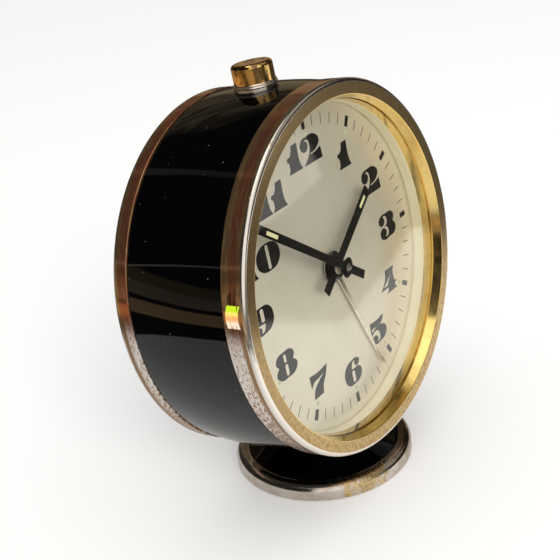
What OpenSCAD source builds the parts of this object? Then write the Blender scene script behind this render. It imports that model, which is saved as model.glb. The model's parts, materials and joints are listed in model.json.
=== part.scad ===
// Wind-up alarm clock: a round drum on a disc foot, with a two-train
// lever movement inside, wing keys at the back and a stop button on top.
// +Z is up, the dial faces -Y, and the origin is the middle of the foot's underside.

/* [Case] */
// Diameter over the front and rear rims
rim_d = 100; // [99.6:0.1:101]
// How far the middle of the band stands proud of the rims
band_bulge = 0.6; // [0.2:0.1:0.6]
// Depth of the drum, front face to back edge
drum_depth = 42.2; // [42.2:0.1:43]
// Lean of the drum on its foot, so that the dial looks slightly up
tilt = 6.3; // [0:0.1:6.3]

/* [Foot] */
// Diameter of the foot
foot_d = 51.8; // [48:0.2:60]
// Height of the foot
foot_h = 4.7; // [4.4:0.1:6]
// Clear height between the foot and the band
neck_h = 5; // [4.5:0.1:8]

/* [Stop button] */
// Diameter of the button's cap
button_d = 11.1; // [10:0.1:12]
// Height of the cap above the band
button_h = 6.6; // [6:0.1:9]
// How far the button travels
button_travel = 2.4; // [1:0.1:2.4]

/* [Hands] */
// Hour shown at rest
rest_hour = 1; // [0:1:11]
// Minute shown at rest
rest_minute = 51; // [0:1:59]
// Hour that the alarm is set to
alarm_hour = 5.27; // [0:0.01:11.99]

/* [Hidden] */
$fn = 96;

// Colours
black = [0.03, 0.03, 0.035];
gold = [0.62, 0.47, 0.22];
nickel = [0.72, 0.69, 0.64];
steel = [0.6, 0.61, 0.63];
brass = [0.78, 0.62, 0.32];
blued = [0.16, 0.2, 0.32];
cream = [0.88, 0.83, 0.68];

// Case.  Depths are measured back from the drum's front face.
rim_r = rim_d / 2;
band_r = rim_r + band_bulge;
band_end_r = rim_r - 0.4;
band_wall = 0.8;
spigot_r = band_end_r - band_wall - 0.1;
spigot_len = 4.6;
bezel_len = 6.9;
rear_rim_len = 4.9;
band_back = drum_depth - rear_rim_len;
edge_round = 1.1;
opening_r = rim_r - 4.4;
glass_r = rim_r - 4.7;
lip_r = rim_r - 5.1;
glass_front = 2.6;
glass_back = 3.5;
crystal_rise = 2;
ring_back = 5.1;
dial_front = 9.3;
dial_thick = 0.6;
dial_r = rim_r - 2.8;
cover_front = drum_depth - 2.3;
cover_thick = 0.8;
cover_r = rim_r - 2.9;
cover_back = cover_front + cover_thick;
cover_screw_r = rim_r - 4.3;
cover_screw_angles = [30, 150, 270];

// The drum's axis crosses the foot's axis this far behind the front face.
axis_back = 18.8;
axis_h = foot_h + neck_h + band_r;
foot_r = foot_d / 2;
foot_disc_r = foot_r - 2.6;
pad_h = 0.8;
button_r = button_d / 2;
button_depth = drum_depth / 2 + 0.4;

// Depths of the layers of the movement
alarm_wheel_depth = 10.6;
hour_wheel_depth = 12.2;
minute_wheel_depth = 13.7;
plate_front = 15.5;
plate_thick = 1.2;
great_depth = 17.4;
ratchet_depth = 18.9;
alarm_second_depth = 19.3;
escape_depth = 19.5;
spring_depth = 20.6;
spring_width = 8.2;
fourth_depth = 22;
alarm_escape_depth = 24;
balance_depth = 24.6;
third_depth = 26;
hairspring_depth = 28.4;
centre_depth = 29.4;
back_plate_front = 31;
plate_back = plate_front + plate_thick;
back_plate_back = back_plate_front + plate_thick;
plate_r = 40;
bell_front = 33.6;
bell_back = 38.6;
bell_r = 30;
hammer_depth = 34.2;
great_thick = 1.2;
wheel_thick = 0.7;

// Depths of the hands
minute_hand_depth = 3.85;
hour_hand_depth = 7.35;
alarm_hand_depth = 8.5;
hand_thick = 0.35;

// Running clearance of a pivot in its hole
play = 0.06;

// Teeth and tooth modules
great_m = 0.6;
centre_m = 0.45;
third_m = 0.42;
fourth_m = 0.4;
motion_m = 0.4;
time_great_teeth = 60;
alarm_great_teeth = 50;
centre_pinion_teeth = 12;
centre_teeth = 60;
third_pinion_teeth = 10;
third_teeth = 56;
fourth_pinion_teeth = 8;
fourth_teeth = 54;
escape_pinion_teeth = 8;
escape_teeth = 15;
escape_r = 6.5;
alarm_second_pinion_teeth = 10;
alarm_second_teeth = 30;
alarm_escape_pinion_teeth = 10;
alarm_escape_teeth = 12;
alarm_escape_r = 5;
cannon_teeth = 12;
minute_teeth = 36;
minute_pinion_teeth = 10;
hour_teeth = 40;
alarm_wheel_teeth = 60;
alarm_set_teeth = 18;

function polar(angle, radius) = [radius * cos(angle), radius * sin(angle)];
function gear_distance(teeth_a, teeth_b, m) = (teeth_a + teeth_b) * m / 2;

// Where each arbor stands, seen from the front: [right, up]
centre_at = [0, 0];
time_great_angle = -45;
time_great_at = polar(time_great_angle, gear_distance(time_great_teeth, centre_pinion_teeth, great_m));
third_angle = 60;
third_at = polar(third_angle, gear_distance(centre_teeth, third_pinion_teeth, centre_m));
fourth_angle = 150;
fourth_at = third_at + polar(fourth_angle, gear_distance(third_teeth, fourth_pinion_teeth, third_m));
escape_angle = 200;
escape_at = fourth_at + polar(escape_angle, gear_distance(fourth_teeth, escape_pinion_teeth, fourth_m));
pallet_angle = 120;
pallet_at = escape_at + polar(pallet_angle, 9.2);
fork_lean = 225;
balance_at = pallet_at + polar(fork_lean, 10.5);
alarm_great_at = [-20.5, -12];
alarm_second_angle = -60;
alarm_second_at = alarm_great_at
  + polar(alarm_second_angle, gear_distance(alarm_great_teeth, alarm_second_pinion_teeth, great_m));
alarm_escape_angle = 0;
alarm_escape_at = alarm_second_at
  + polar(alarm_escape_angle, gear_distance(alarm_second_teeth, alarm_escape_pinion_teeth, centre_m));
hammer_at = alarm_escape_at + polar(-60, 7.4);
alarm_set_angle = 160;
alarm_set_at = polar(alarm_set_angle, gear_distance(alarm_wheel_teeth, alarm_set_teeth, motion_m));
minute_stud_angle = 270;
minute_stud_at = polar(minute_stud_angle, gear_distance(cannon_teeth, minute_teeth, motion_m));
pillar_angles = [15, 75, 178, 280];
pillar_circle_r = 37.5;
bell_post_offsets = [20, -20];
bell_rivet_r = 0.9;
lever_pivot_angle = 10;
lever_r = 44.4;
lever_pivot_at = polar(lever_pivot_angle, lever_r);
lever_depth = button_depth - 1;
lever_thick = 2;
lever_stud_r = 1;

// ---------- helpers ----------

// The drum stands over the foot and leans back by the tilt.
// Inside it, x is right, y is the depth behind the front face and z is up from the drum's axis.
module head() {
  translate([0, 0, axis_h])
    rotate([-tilt, 0, 0])
      translate([0, -axis_back, 0])
        children();
}

// A round piece from its half section, given as [radius, depth] points
module turned(points) {
  rotate([-90, 0, 0])
    rotate_extrude($fn = 128)
      polygon(points);
}

// A flat piece from its outline as seen from the front
module flat(depth, thick, at = [0, 0]) {
  translate([at[0], depth + thick, at[1]])
    rotate([90, 0, 0])
      linear_extrude(thick)
        children();
}

module rod(radius, from, to, at = [0, 0]) {
  translate([at[0], from, at[1]])
    rotate([-90, 0, 0])
      cylinder(r = radius, h = to - from);
}

module tube(outer, inner, from, to, at = [0, 0]) {
  difference() {
    rod(outer, from, to, at);
    rod(inner, from - 1, to + 1, at);
  }
}

function arc(centre, radius, from, to, steps) =
  [for (i = [0 : steps]) centre + polar(from + (to - from) * i / steps, radius)];

// Half angle of an involute tooth at a radius, in degrees
pressure = 20;
backlash = 0.12;
function involute(angle) = tan(angle) - angle * PI / 180;
function tooth_half(radius, teeth, base_r) =
  90 / teeth * (1 - backlash)
  + (involute(pressure) - involute(acos(min(1, base_r / max(radius, base_r))))) * 180 / PI;

// Gear outline.  One tooth is centred on the phase angle.
module gear_outline(teeth, m, phase = 0, addendum = 0.75, dedendum = 1.15) {
  pitch_r = teeth * m / 2;
  base_r = pitch_r * cos(pressure);
  tip_r = pitch_r + addendum * m;
  root_r = pitch_r - dedendum * m;
  flank_r = max(root_r, base_r);
  radii = [root_r, flank_r, (flank_r + tip_r) / 2, tip_r];
  polygon([
    for (tooth = [0 : teeth - 1])
      for (k = [0 : 7])
        let (
          rising = k < 4,
          radius = radii[rising ? k : 7 - k],
          half = tooth_half(radius, teeth, base_r))
        polar(phase + tooth * 360 / teeth + (rising ? -half : half), radius)]);
}

// Phase of a second gear that meshes with a first one, along the line of centres
function mesh_phase(teeth_a, phase_a, teeth_b, angle) =
  angle + 180 - 360 / teeth_b * (0.5 - (angle - phase_a) * teeth_a / 360);

// Four round openings that leave a wheel with four arms
module crossings(radius, hole_r) {
  for (i = [0 : 3])
    translate(polar(45 + 90 * i, radius))
      circle(r = hole_r, $fn = 32);
}

// Saw-toothed ratchet outline
module saw_outline(teeth, tip_r, root_r, undercut = 0) {
  polygon([
    for (tooth = [0 : teeth - 1])
      for (k = [0 : 1])
        polar((tooth + (k == 0 ? 0 : undercut)) * 360 / teeth, k == 0 ? tip_r : root_r)]);
}

// A flat spiral spring of a number of turns
module spiral_outline(inner_r, outer_r, turns, thick) {
  steps = 24 * turns;
  function at_step(i, side) =
    polar(360 * turns * i / steps, inner_r + (outer_r - inner_r) * i / steps + side * thick / 2);
  polygon(concat(
    [for (i = [0 : steps]) at_step(i, 1)],
    [for (i = [steps : -1 : 0]) at_step(i, -1)]));
}

// Part of a flat ring between two angles
module ring_sector(inner_r, outer_r, from, to, steps = 24) {
  polygon(concat(arc([0, 0], outer_r, from, to, steps), arc([0, 0], inner_r, to, from, steps)));
}

// ---------- case ----------

// Outside of the band: a shallow barrel between the two rims
function band_outline(offset) = [
  for (i = [0 : 12])
    let (u = i / 6 - 1)
    [band_end_r + (band_r - band_end_r) * (1 - u * u) - offset,
     bezel_len + (band_back - bezel_len) * i / 12]];

module case_band() {
  outside = band_outline(0);
  inside = band_outline(band_wall);
  color(black)
    head()
      difference() {
        turned(concat(outside, [for (i = [len(inside) - 1 : -1 : 0]) inside[i]]));
        translate([0, button_depth, 0])
          cylinder(r = collar_r + play, h = rim_r + 10, $fn = 64);
        foot_bolt_hole();
      }
}

// The foot's bolt stands upright, so in the drum it leans forward by the tilt.
module foot_bolt_hole() {
  translate([0, axis_back, 0])
    rotate([tilt, 0, 0])
      translate([0, 0, -axis_h])
        cylinder(r = bolt_hole_r, h = 30, $fn = 48);
}

module front_bezel() {
  outer_edge = arc([rim_r - edge_round, edge_round], edge_round, -90, 0, 6);
  color(gold)
    head()
      turned(concat(
        [[opening_r, 0]],
        outer_edge,
        [[rim_r, bezel_len], [spigot_r, bezel_len], [spigot_r, bezel_len + spigot_len],
         [dial_r + 0.2, bezel_len + spigot_len], [dial_r + 0.2, dial_front], [glass_r + 0.1, dial_front],
         [glass_r + 0.1, glass_front], [lip_r, glass_front]]));
}

module rear_rim() {
  outer_edge = arc([rim_r - edge_round, drum_depth - edge_round], edge_round, 0, 90, 6);
  ledge_front = cover_front - 1.2;
  rear_spigot_front = band_back - 3.6;
  color(gold)
    head()
      difference() {
        turned(concat(
          [[spigot_r, band_back], [rim_r, band_back]],
          outer_edge,
          [[cover_r + 0.2, drum_depth], [cover_r + 0.2, cover_front], [cover_r - 2.6, cover_front],
           [cover_r - 2.6, ledge_front], [cover_r + 0.4, ledge_front],
           [cover_r + 0.4, rear_spigot_front], [spigot_r, rear_spigot_front]]));
        for (angle = cover_screw_angles)
          rod(0.8, ledge_front - 1, cover_front + 1, polar(angle, cover_screw_r));
      }
}

// The regulator's tab, its middle angle and how far its slot reaches each way
tab_at = 7.6;
index_angle = 150;
index_swing = 28;

// Slot that the regulator's tab moves in
module regulator_slot() {
  translate(balance_at)
    ring_sector(tab_at - 0.7, tab_at + 1.5, index_angle - index_swing, index_angle + index_swing, 12);
}

module rear_cover() {
  centre_hole_r = 1.9;
  winding_hole_r = 2.3;
  alarm_set_hole_r = 1.7;
  screw_hole_r = 0.9;
  sound_hole_r = 1.1;
  color(nickel)
    head()
      difference() {
        flat(cover_front, cover_thick)
          difference() {
            circle(r = cover_r);
            regulator_slot();
          }
        rod(centre_hole_r, cover_front - 1, cover_back + 1);
        for (at = [time_great_at, alarm_great_at])
          rod(winding_hole_r, cover_front - 1, cover_back + 1, at);
        rod(alarm_set_hole_r, cover_front - 1, cover_back + 1, alarm_set_at);
        for (angle = cover_screw_angles)
          rod(screw_hole_r, cover_front - 1, cover_back + 1, polar(angle, cover_screw_r));
        for (ring = [0, 1])
          for (i = [-2 : 2])
            rod(sound_hole_r, cover_front - 1, cover_back + 1,
              polar(60 + 9 * i + 2 * ring, 36 - 4.5 * ring));
      }
}

module cover_screws() {
  color(steel)
    head()
      for (angle = cover_screw_angles)
        slotted_screw(polar(angle, cover_screw_r), 1.5, 0.8, 0.75, cover_front - 1.2, cover_back);
}

// A cheese-head screw that goes in from the back; its head sits on the face at head_depth
module slotted_screw(at, head_r, head_h, shank_r, tip_depth, head_depth) {
  difference() {
    union() {
      rod(shank_r, tip_depth, head_depth, at);
      rod(head_r, head_depth, head_depth + head_h, at);
    }
    translate([at[0], head_depth + head_h, at[1]])
      cube([2 * head_r + 1, head_h, 0.5], center = true);
  }
}

// ---------- glass and dial ----------

function dome(radius, edge_depth, rise, steps) = [
  for (i = [0 : steps])
    let (r = radius * i / steps)
    [r, edge_depth - rise * (1 - r * r / (radius * radius))]];

module crystal() {
  glass = glass_back - glass_front;
  front = dome(lip_r - 0.2, glass_front, crystal_rise, 10);
  back = dome(lip_r - 0.2, glass_back, crystal_rise, 10);
  color([0.9, 0.95, 0.95, 0.3])
    head()
      turned(concat(
        front,
        [[glass_r, glass_front], [glass_r, glass_front + glass]],
        [for (i = [len(back) - 1 : -1 : 0]) back[i]]));
}

module crystal_ring() {
  color(gold)
    head()
      turned([[lip_r - 0.3, glass_back], [glass_r, glass_back],
        [glass_r, ring_back], [lip_r - 0.5, ring_back]]);
}

module dial_spacer_ring() {
  color(cream)
    head()
      turned([[lip_r - 0.5, ring_back], [glass_r, ring_back],
        [glass_r, dial_front], [lip_r - 1.1, dial_front]]);
}

module dial_plate() {
  color([0.78, 0.75, 0.66])
    head()
      flat(dial_front, dial_thick)
        difference() {
          circle(r = dial_r);
          circle(r = alarm_pipe_r + 0.5);
        }
}

// ---------- foot ----------

bolt_r = 2;
bolt_hole_r = bolt_r + 0.1;
disc_drop = 0.4;
rim_shelf = 2;
rim_wall = 1;

module foot_disc() {
  nut_recess_r = 4.6;
  nut_recess_h = 2.4;
  color(black)
    difference() {
      union() {
        cylinder(r = foot_disc_r, h = foot_h - disc_drop);
        cylinder(r = foot_r - rim_wall, h = rim_shelf);
      }
      translate([0, 0, -1])
        cylinder(r = foot_r - 2 * rim_wall, h = 1 + pad_h);
      translate([0, 0, -1])
        cylinder(r = nut_recess_r, h = 1 + nut_recess_h);
      translate([0, 0, -1])
        cylinder(r = bolt_hole_r, h = foot_h + 2);
    }
}

module foot_rim() {
  rim_round = 1.3;
  rim_base = 0.3;
  outer_edge = arc([foot_r - rim_round, foot_h - rim_round], rim_round, 0, 90, 6);
  color(nickel)
    rotate_extrude($fn = 128)
      polygon(concat(
        [[foot_r - rim_wall, rim_base], [foot_r, rim_base]],
        outer_edge,
        [[foot_disc_r, foot_h], [foot_disc_r, rim_shelf], [foot_r - rim_wall, rim_shelf]]));
}

// Felt disc glued over the nut's recess
module foot_pad() {
  color([0.16, 0.3, 0.2])
    cylinder(r = foot_r - 2 * rim_wall - 0.2, h = pad_h);
}

// A short pillar whose top is cut to the curve of the band
module foot_neck() {
  neck_r = 8;
  color(black)
    difference() {
      translate([0, 0, foot_h - disc_drop])
        cylinder(r = neck_r, h = neck_h + 4);
      head()
        turned(concat([[0, bezel_len]], band_outline(0), [[0, band_back]]));
      cylinder(r = bolt_hole_r, h = axis_h);
    }
}

module foot_bolt() {
  head_z = foot_h + neck_h + band_wall + 0.4;
  color(steel)
    union() {
      translate([0, 0, 1])
        cylinder(r = bolt_r, h = head_z);
      translate([0, 0, head_z])
        cylinder(r = 4.5, h = 2.2);
    }
}

module foot_nut() {
  nut_r = 4;
  nut_h = 1.6;
  color(steel)
    translate([0, 0, pad_h])
      difference() {
        cylinder(r = nut_r, h = nut_h, $fn = 6);
        translate([0, 0, -1])
          cylinder(r = bolt_r + 0.02, h = nut_h + 2);
      }
}

// ---------- stop button ----------

cap_base = band_r - 1.4;
cap_top = band_r + button_h;
cap_wall = 0.8;
cap_ceiling = cap_base + button_travel + 0.6;
stem_r = 1.2;
stem_end = lever_r - 1.4;
collar_r = button_r + 0.3;
flange_r = button_r + 0.5;
flange_h = 0.7;
collar_h = 1.5;

module at_button() {
  head()
    translate([0, button_depth, 0])
      children();
}

module button_cap() {
  top_round = 1;
  edge = arc([button_r - top_round, cap_top - top_round], top_round, 0, 90, 6);
  color(gold)
    at_button()
      rotate_extrude($fn = 96)
        polygon(concat(
          [[0, stem_end], [stem_r, stem_end], [stem_r, cap_ceiling], [button_r - cap_wall, cap_ceiling],
           [button_r - cap_wall, cap_base], [button_r, cap_base]],
          edge,
          [[0, cap_top]]));
}

// A tube through the band, with a flange that rests on it
module button_collar() {
  color(nickel)
    at_button()
      difference() {
        union() {
          translate([0, 0, band_r - band_wall])
            cylinder(r = collar_r, h = band_wall + collar_h);
          translate([0, 0, band_r - 0.05])
            cylinder(r = flange_r, h = flange_h);
        }
        translate([0, 0, band_r - 5])
          cylinder(r = button_r + play, h = 10);
      }
}

bracket_top = lever_r + 1.5;

module button_bracket() {
  width = 6;
  thick = 0.8;
  half_span = 11;
  foot_thick = 1;
  color(steel)
    at_button()
      difference() {
        union() {
          translate([-half_span, -width / 2, bracket_top - thick])
            cube([2 * half_span, width, thick]);
          for (side = [-1, 1])
            translate([side * (half_span - foot_thick / 2) - foot_thick / 2, -width / 2, bracket_top - thick])
              cube([foot_thick, width, 3.4]);
        }
        translate([0, 0, bracket_top - 5])
          cylinder(r = stem_r + play, h = 10);
      }
}

// Four coils, drawn as separate rings
module button_spring() {
  wire_r = 0.25;
  coil_r = 2.2;
  coils = 4;
  low = bracket_top + wire_r + 0.02;
  high = cap_ceiling - wire_r - 0.02;
  color(steel)
    at_button()
      for (i = [0 : coils])
        translate([0, 0, low + (high - low) * i / coils])
          rotate_extrude($fn = 48)
            translate([coil_r, 0])
              circle(r = wire_r, $fn = 16);
}

// A long curved lever beside the movement: the button pushes its top end down
module stop_lever() {
  arm_w = 0.8;
  pad_top = lever_r - 1.55;
  color(steel)
    head()
      difference() {
        union() {
          flat(lever_depth, lever_thick) {
            ring_sector(lever_r - arm_w, lever_r + arm_w, -80, 84);
            // Pad under the button's stem, and the step that joins it to the arm
            translate([-2.5, pad_top - 1])
              square([7.7, 1]);
            translate([3.6, pad_top - 1])
              square([1.6, 2.5]);
          }
          rod(2.2, lever_depth, lever_depth + lever_thick, lever_pivot_at);
        }
        rod(lever_stud_r + play, lever_depth - 1, lever_depth + 4, lever_pivot_at);
      }
}

// ---------- hands ----------

minute_angle = 6 * rest_minute;
hour_angle = 30 * rest_hour + rest_minute / 2;
alarm_angle = 30 * alarm_hour;

// Sizes of a hand: [length, tail, width at the hub, at the tip, at the tail, radius of the eye]
minute_size = [40.6, 8.6, 2, 2.4, 2.4, 2.8];
hour_size = [26, 8.4, 2.6, 3.2, 2.8, 3.7];
alarm_size = [39, 0.1, 1.7, 0.9, 1.7, 4.4];

// A baton with an eye at its hub, standing at a clock angle
module hand(depth, angle, size, bore) {
  flat(depth, hand_thick)
    difference() {
      union() {
        rotate(90 - angle)
          polygon([[-size[1], -size[4] / 2], [0, -size[2] / 2], [size[0], -size[3] / 2],
            [size[0], size[3] / 2], [0, size[2] / 2], [-size[1], size[4] / 2]]);
        circle(r = size[5], $fn = 64);
      }
      circle(r = bore, $fn = 64);
    }
}

module minute_hand() {
  color(black)
    head()
      union() {
        hand(minute_hand_depth, minute_angle, minute_size, cannon_r);
        tube(1.7, cannon_r, minute_hand_depth + hand_thick, minute_hand_depth + 1.3);
      }
}

module hour_hand() {
  color(black)
    head()
      union() {
        hand(hour_hand_depth, hour_angle, hour_size, hour_pipe_r);
        tube(2.5, hour_pipe_r, hour_hand_depth - 0.4, hour_hand_depth + 0.9);
      }
}

module alarm_hand() {
  color(gold)
    head()
      hand(alarm_hand_depth, alarm_angle, alarm_size, alarm_pipe_r);
}

// ---------- plates ----------

module pivot_hole(at, radius) {
  translate(at)
    circle(r = radius + play, $fn = 48);
}

staff_r = 0.9;
pivot_r = 0.5;
winding_r = 1.5;
set_r = 1;
staffs = [third_at, fourth_at, escape_at, pallet_at, balance_at, alarm_second_at, alarm_escape_at];

module plate_outline() {
  difference() {
    circle(r = plate_r);
    pivot_hole(centre_at, set_r);
    pivot_hole(alarm_set_at, set_r);
    for (at = staffs)
      pivot_hole(at, pivot_r);
    for (angle = pillar_angles)
      pivot_hole(polar(angle, pillar_circle_r), 1);
  }
}

ring_feet_angles = [40, 160, 250];
ring_feet_r = 38;
ring_pin_r = 0.6;
minute_stud_r = 0.74;

module front_plate() {
  color(brass)
    head()
      union() {
        flat(plate_front, plate_thick)
          difference() {
            union() {
              plate_outline();
              // Ear that carries the stop lever's stud
              translate(lever_pivot_at * 0.93)
                rotate(lever_pivot_angle)
                  translate([-2.6, -3])
                    square([7.8, 6]);
            }
            for (at = [time_great_at, alarm_great_at, hammer_at])
              pivot_hole(at, pivot_r);
            pivot_hole(minute_stud_at, minute_stud_r);
            for (angle = ring_feet_angles)
              pivot_hole(polar(angle, ring_feet_r), ring_pin_r);
          }
        // Stud of the stop lever, riveted into the ear
        rod(lever_stud_r, plate_front, lever_depth + lever_thick + 0.6, lever_pivot_at);
      }
}

module back_plate() {
  spring_posts = [
    spring_post_at(time_great_at, time_spring),
    spring_post_at(alarm_great_at, alarm_spring)];
  color(brass)
    head()
      union() {
        flat(back_plate_front, plate_thick)
          difference() {
            plate_outline();
            for (at = [time_great_at, alarm_great_at])
              pivot_hole(at, winding_r);
            pivot_hole(hammer_at, staff_r);
            for (z = bell_post_offsets)
              pivot_hole([0, z], bell_rivet_r);
          }
        // Posts that hold the outer ends of the mainsprings
        for (at = spring_posts)
          rod(spring_post_r, spring_depth, back_plate_front + 0.1, at);
      }
}

module plate_pillars() {
  color(brass)
    head()
      for (angle = pillar_angles) {
        at = polar(angle, pillar_circle_r);
        rod(1.75, plate_back, back_plate_front, at);
        rod(1, plate_front - 1.2, back_plate_back + 1.2, at);
      }
}

module pillar_nuts() {
  color(steel)
    head()
      for (angle = pillar_angles)
        for (depth = [plate_front - 1.2, back_plate_back])
          difference() {
            translate([polar(angle, pillar_circle_r)[0], depth, polar(angle, pillar_circle_r)[1]])
              rotate([-90, 0, 0])
                cylinder(r = 1.9, h = 1.2, $fn = 6);
            rod(1.02, depth - 1, depth + 3, polar(angle, pillar_circle_r));
          }
}

// A ring behind the dial that carries the movement on three feet
module movement_ring() {
  ring_front = bezel_len + spigot_len;
  ring_rear = ring_front + 0.8;
  color(steel)
    head()
      union() {
        tube(spigot_r, ring_feet_r - 1.5, ring_front, ring_rear);
        for (angle = ring_feet_angles) {
          rod(1.4, ring_rear, plate_front, polar(angle, ring_feet_r));
          rod(ring_pin_r, plate_front, plate_back, polar(angle, ring_feet_r));
        }
      }
}

// ---------- motion work ----------

front_arbor_r = 0.8;
cannon_r = 1.25;
hour_pipe_r = 1.9;
alarm_pipe_r = 2.6;
cannon_phase = 0;
minute_phase = mesh_phase(cannon_teeth, cannon_phase, minute_teeth, minute_stud_angle);
hour_m = motion_m * (cannon_teeth + minute_teeth) / (minute_pinion_teeth + hour_teeth);
hour_phase = mesh_phase(minute_pinion_teeth, minute_phase, hour_teeth, minute_stud_angle + 180);

module hand_arbor() {
  color(steel)
    head()
      union() {
        rod(front_arbor_r, 3.6, plate_front - 0.3);
        rod(set_r, plate_front - 0.3, cover_back + 4);
      }
}

module cannon_pinion() {
  color(brass)
    head()
      difference() {
        union() {
          rod(cannon_r, minute_hand_depth, minute_wheel_depth);
          flat(minute_wheel_depth - 0.1, 1.3)
            gear_outline(cannon_teeth, motion_m, cannon_phase);
        }
        rod(front_arbor_r, 0, plate_front);
      }
}

// The stud is part of the wheel: it turns in the front plate
module minute_wheel() {
  color(brass)
    head()
      union() {
        flat(minute_wheel_depth, wheel_thick, minute_stud_at)
          difference() {
            gear_outline(minute_teeth, motion_m, minute_phase);
            crossings(4.6, 1.5);
          }
        flat(hour_wheel_depth - 0.2, minute_wheel_depth - hour_wheel_depth + 0.2, minute_stud_at)
          gear_outline(minute_pinion_teeth, hour_m, minute_phase);
        rod(minute_stud_r, minute_wheel_depth + wheel_thick, plate_back, minute_stud_at);
      }
}

module hour_wheel() {
  color(brass)
    head()
      difference() {
        union() {
          flat(hour_wheel_depth, wheel_thick)
            gear_outline(hour_teeth, hour_m, hour_phase);
          rod(hour_pipe_r, hour_hand_depth - 0.3, hour_wheel_depth + wheel_thick);
        }
        rod(cannon_r + play, 0, plate_front);
      }
}

alarm_wheel_phase = 0;
alarm_set_phase = mesh_phase(alarm_wheel_teeth, alarm_wheel_phase, alarm_set_teeth, alarm_set_angle);

module alarm_wheel() {
  color(brass)
    head()
      difference() {
        union() {
          flat(alarm_wheel_depth, wheel_thick)
            difference() {
              gear_outline(alarm_wheel_teeth, motion_m, alarm_wheel_phase);
              crossings(7.2, 2.6);
            }
          rod(alarm_pipe_r, alarm_hand_depth, alarm_wheel_depth + wheel_thick);
        }
        rod(hour_pipe_r + play, 0, plate_front);
      }
}

module alarm_set_arbor() {
  color(steel)
    head()
      union() {
        flat(alarm_wheel_depth - 0.2, 1.1, alarm_set_at)
          gear_outline(alarm_set_teeth, motion_m, alarm_set_phase);
        rod(set_r, alarm_wheel_depth + 0.9, cover_back + 4, alarm_set_at);
      }
}

// A round knob with a fluted grip
module knob(at, radius, length) {
  front = cover_back + 0.6;
  flutes = 18;
  flute_r = 0.35;
  difference() {
    rod(radius, front, front + length, at);
    rod(set_r, front - 1, cover_back + 4, at);
    for (i = [0 : flutes - 1])
      rod(flute_r, front + 1, front + length + 1, at + polar(360 / flutes * i, radius + 0.1));
  }
}

module hand_set_knob() {
  color(gold)
    head()
      knob(centre_at, 5, 6);
}

module alarm_set_knob() {
  color(gold)
    head()
      knob(alarm_set_at, 4, 5.2);
}

// ---------- winding ----------

ratchet_teeth = 16;
ratchet_r = 4.6;
click_pivot_r = 6.9;
click_stud_r = 0.5;
click_lean = 134;

module great_wheel(at, teeth, phase, click_angle) {
  stud_at = at + polar(click_angle, click_pivot_r);
  union() {
    flat(great_depth, great_thick, at)
      difference() {
        gear_outline(teeth, great_m, phase);
        circle(r = winding_r + play);
        crossings(teeth * great_m / 2 - 4.6, 2.4);
      }
    rod(click_stud_r, great_depth, ratchet_depth + 1, stud_at);
  }
}

// Arbor with its ratchet wheel; it turns on the plates and inside the great wheel
module winding_arbor(at) {
  union() {
    rod(pivot_r, plate_front, plate_back + 1, at);
    rod(winding_r, plate_back + 0.1, cover_back + 6, at);
    flat(ratchet_depth, 1, at)
      saw_outline(ratchet_teeth, ratchet_r, ratchet_r - 0.8);
  }
}

// A pawl that lies on the ratchet, pivoted on the great wheel.
// The steep faces of the teeth press it towards its pivot, so the arbor can't turn back.
module click(at, angle) {
  eye_r = 1.1;
  nose = [[0.75, -0.65], [2.4, -0.4], [3.8, -0.25], [4.4, 0], [3.8, 0.6], [0.75, 0.7]];
  flat(ratchet_depth, 0.9, at + polar(angle, click_pivot_r))
    difference() {
      union() {
        circle(r = eye_r, $fn = 48);
        rotate(angle - click_lean)
          polygon(nose);
      }
      circle(r = click_stud_r + play, $fn = 48);
    }
}

// [outer radius, turns] of each mainspring
time_spring = [13.6, 7];
alarm_spring = [11.4, 6.5];
spring_thick = 0.35;
spring_post_r = 0.9;

module mainspring(at, size) {
  flat(spring_depth, spring_width, at)
    spiral_outline(winding_r + 0.5, size[0], size[1], spring_thick);
}

// Where a spring's outer end bears on its post
function spring_post_at(at, size) =
  at + polar(360 * size[1], size[0] + spring_thick / 2 + spring_post_r + 0.02);

// A wing key: a round hub with two rounded wings
module key(at, angle) {
  front = cover_back + 1.2;
  hub_r = 2.6;
  hub_len = 5;
  wing_r = 5.2;
  wing_out = 7.6;
  wing_thick = 1.4;
  eye_r = 2.3;
  difference() {
    union() {
      rod(hub_r, front, front + hub_len, at);
      translate([at[0], front + hub_len + 2, at[1]])
        rotate([0, -angle, 0])
          difference() {
            union() {
              for (side = [-1, 1])
                translate([side * wing_out, 0, -wing_thick / 2])
                  cylinder(r = wing_r, h = wing_thick);
              translate([-wing_out, -wing_r * 0.8, -wing_thick / 2])
                cube([2 * wing_out, wing_r * 1.2, wing_thick]);
            }
            for (side = [-1, 1])
              translate([side * wing_out, 0, -wing_thick])
                cylinder(r = eye_r, h = 2 * wing_thick);
          }
    }
    rod(winding_r, front - 1, cover_back + 6, at);
  }
}

time_great_phase = 0;
centre_pinion_phase = mesh_phase(time_great_teeth, time_great_phase, centre_pinion_teeth,
  time_great_angle + 180);
alarm_great_phase = 0;
time_click_angle = 100;
alarm_click_angle = 60;
time_key_angle = 35;
alarm_key_angle = -35;

module time_great_wheel() {
  color(brass)
    head()
      great_wheel(time_great_at, time_great_teeth, time_great_phase, time_click_angle);
}

module time_winding_arbor() {
  color(steel)
    head()
      winding_arbor(time_great_at);
}

module time_click() {
  color(blued)
    head()
      click(time_great_at, time_click_angle);
}

module time_mainspring() {
  color(blued)
    head()
      mainspring(time_great_at, time_spring);
}

module time_key() {
  color(gold)
    head()
      key(time_great_at, time_key_angle);
}

module alarm_great_wheel() {
  color(brass)
    head()
      great_wheel(alarm_great_at, alarm_great_teeth, alarm_great_phase, alarm_click_angle);
}

module alarm_winding_arbor() {
  color(steel)
    head()
      winding_arbor(alarm_great_at);
}

module alarm_click() {
  color(blued)
    head()
      click(alarm_great_at, alarm_click_angle);
}

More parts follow.
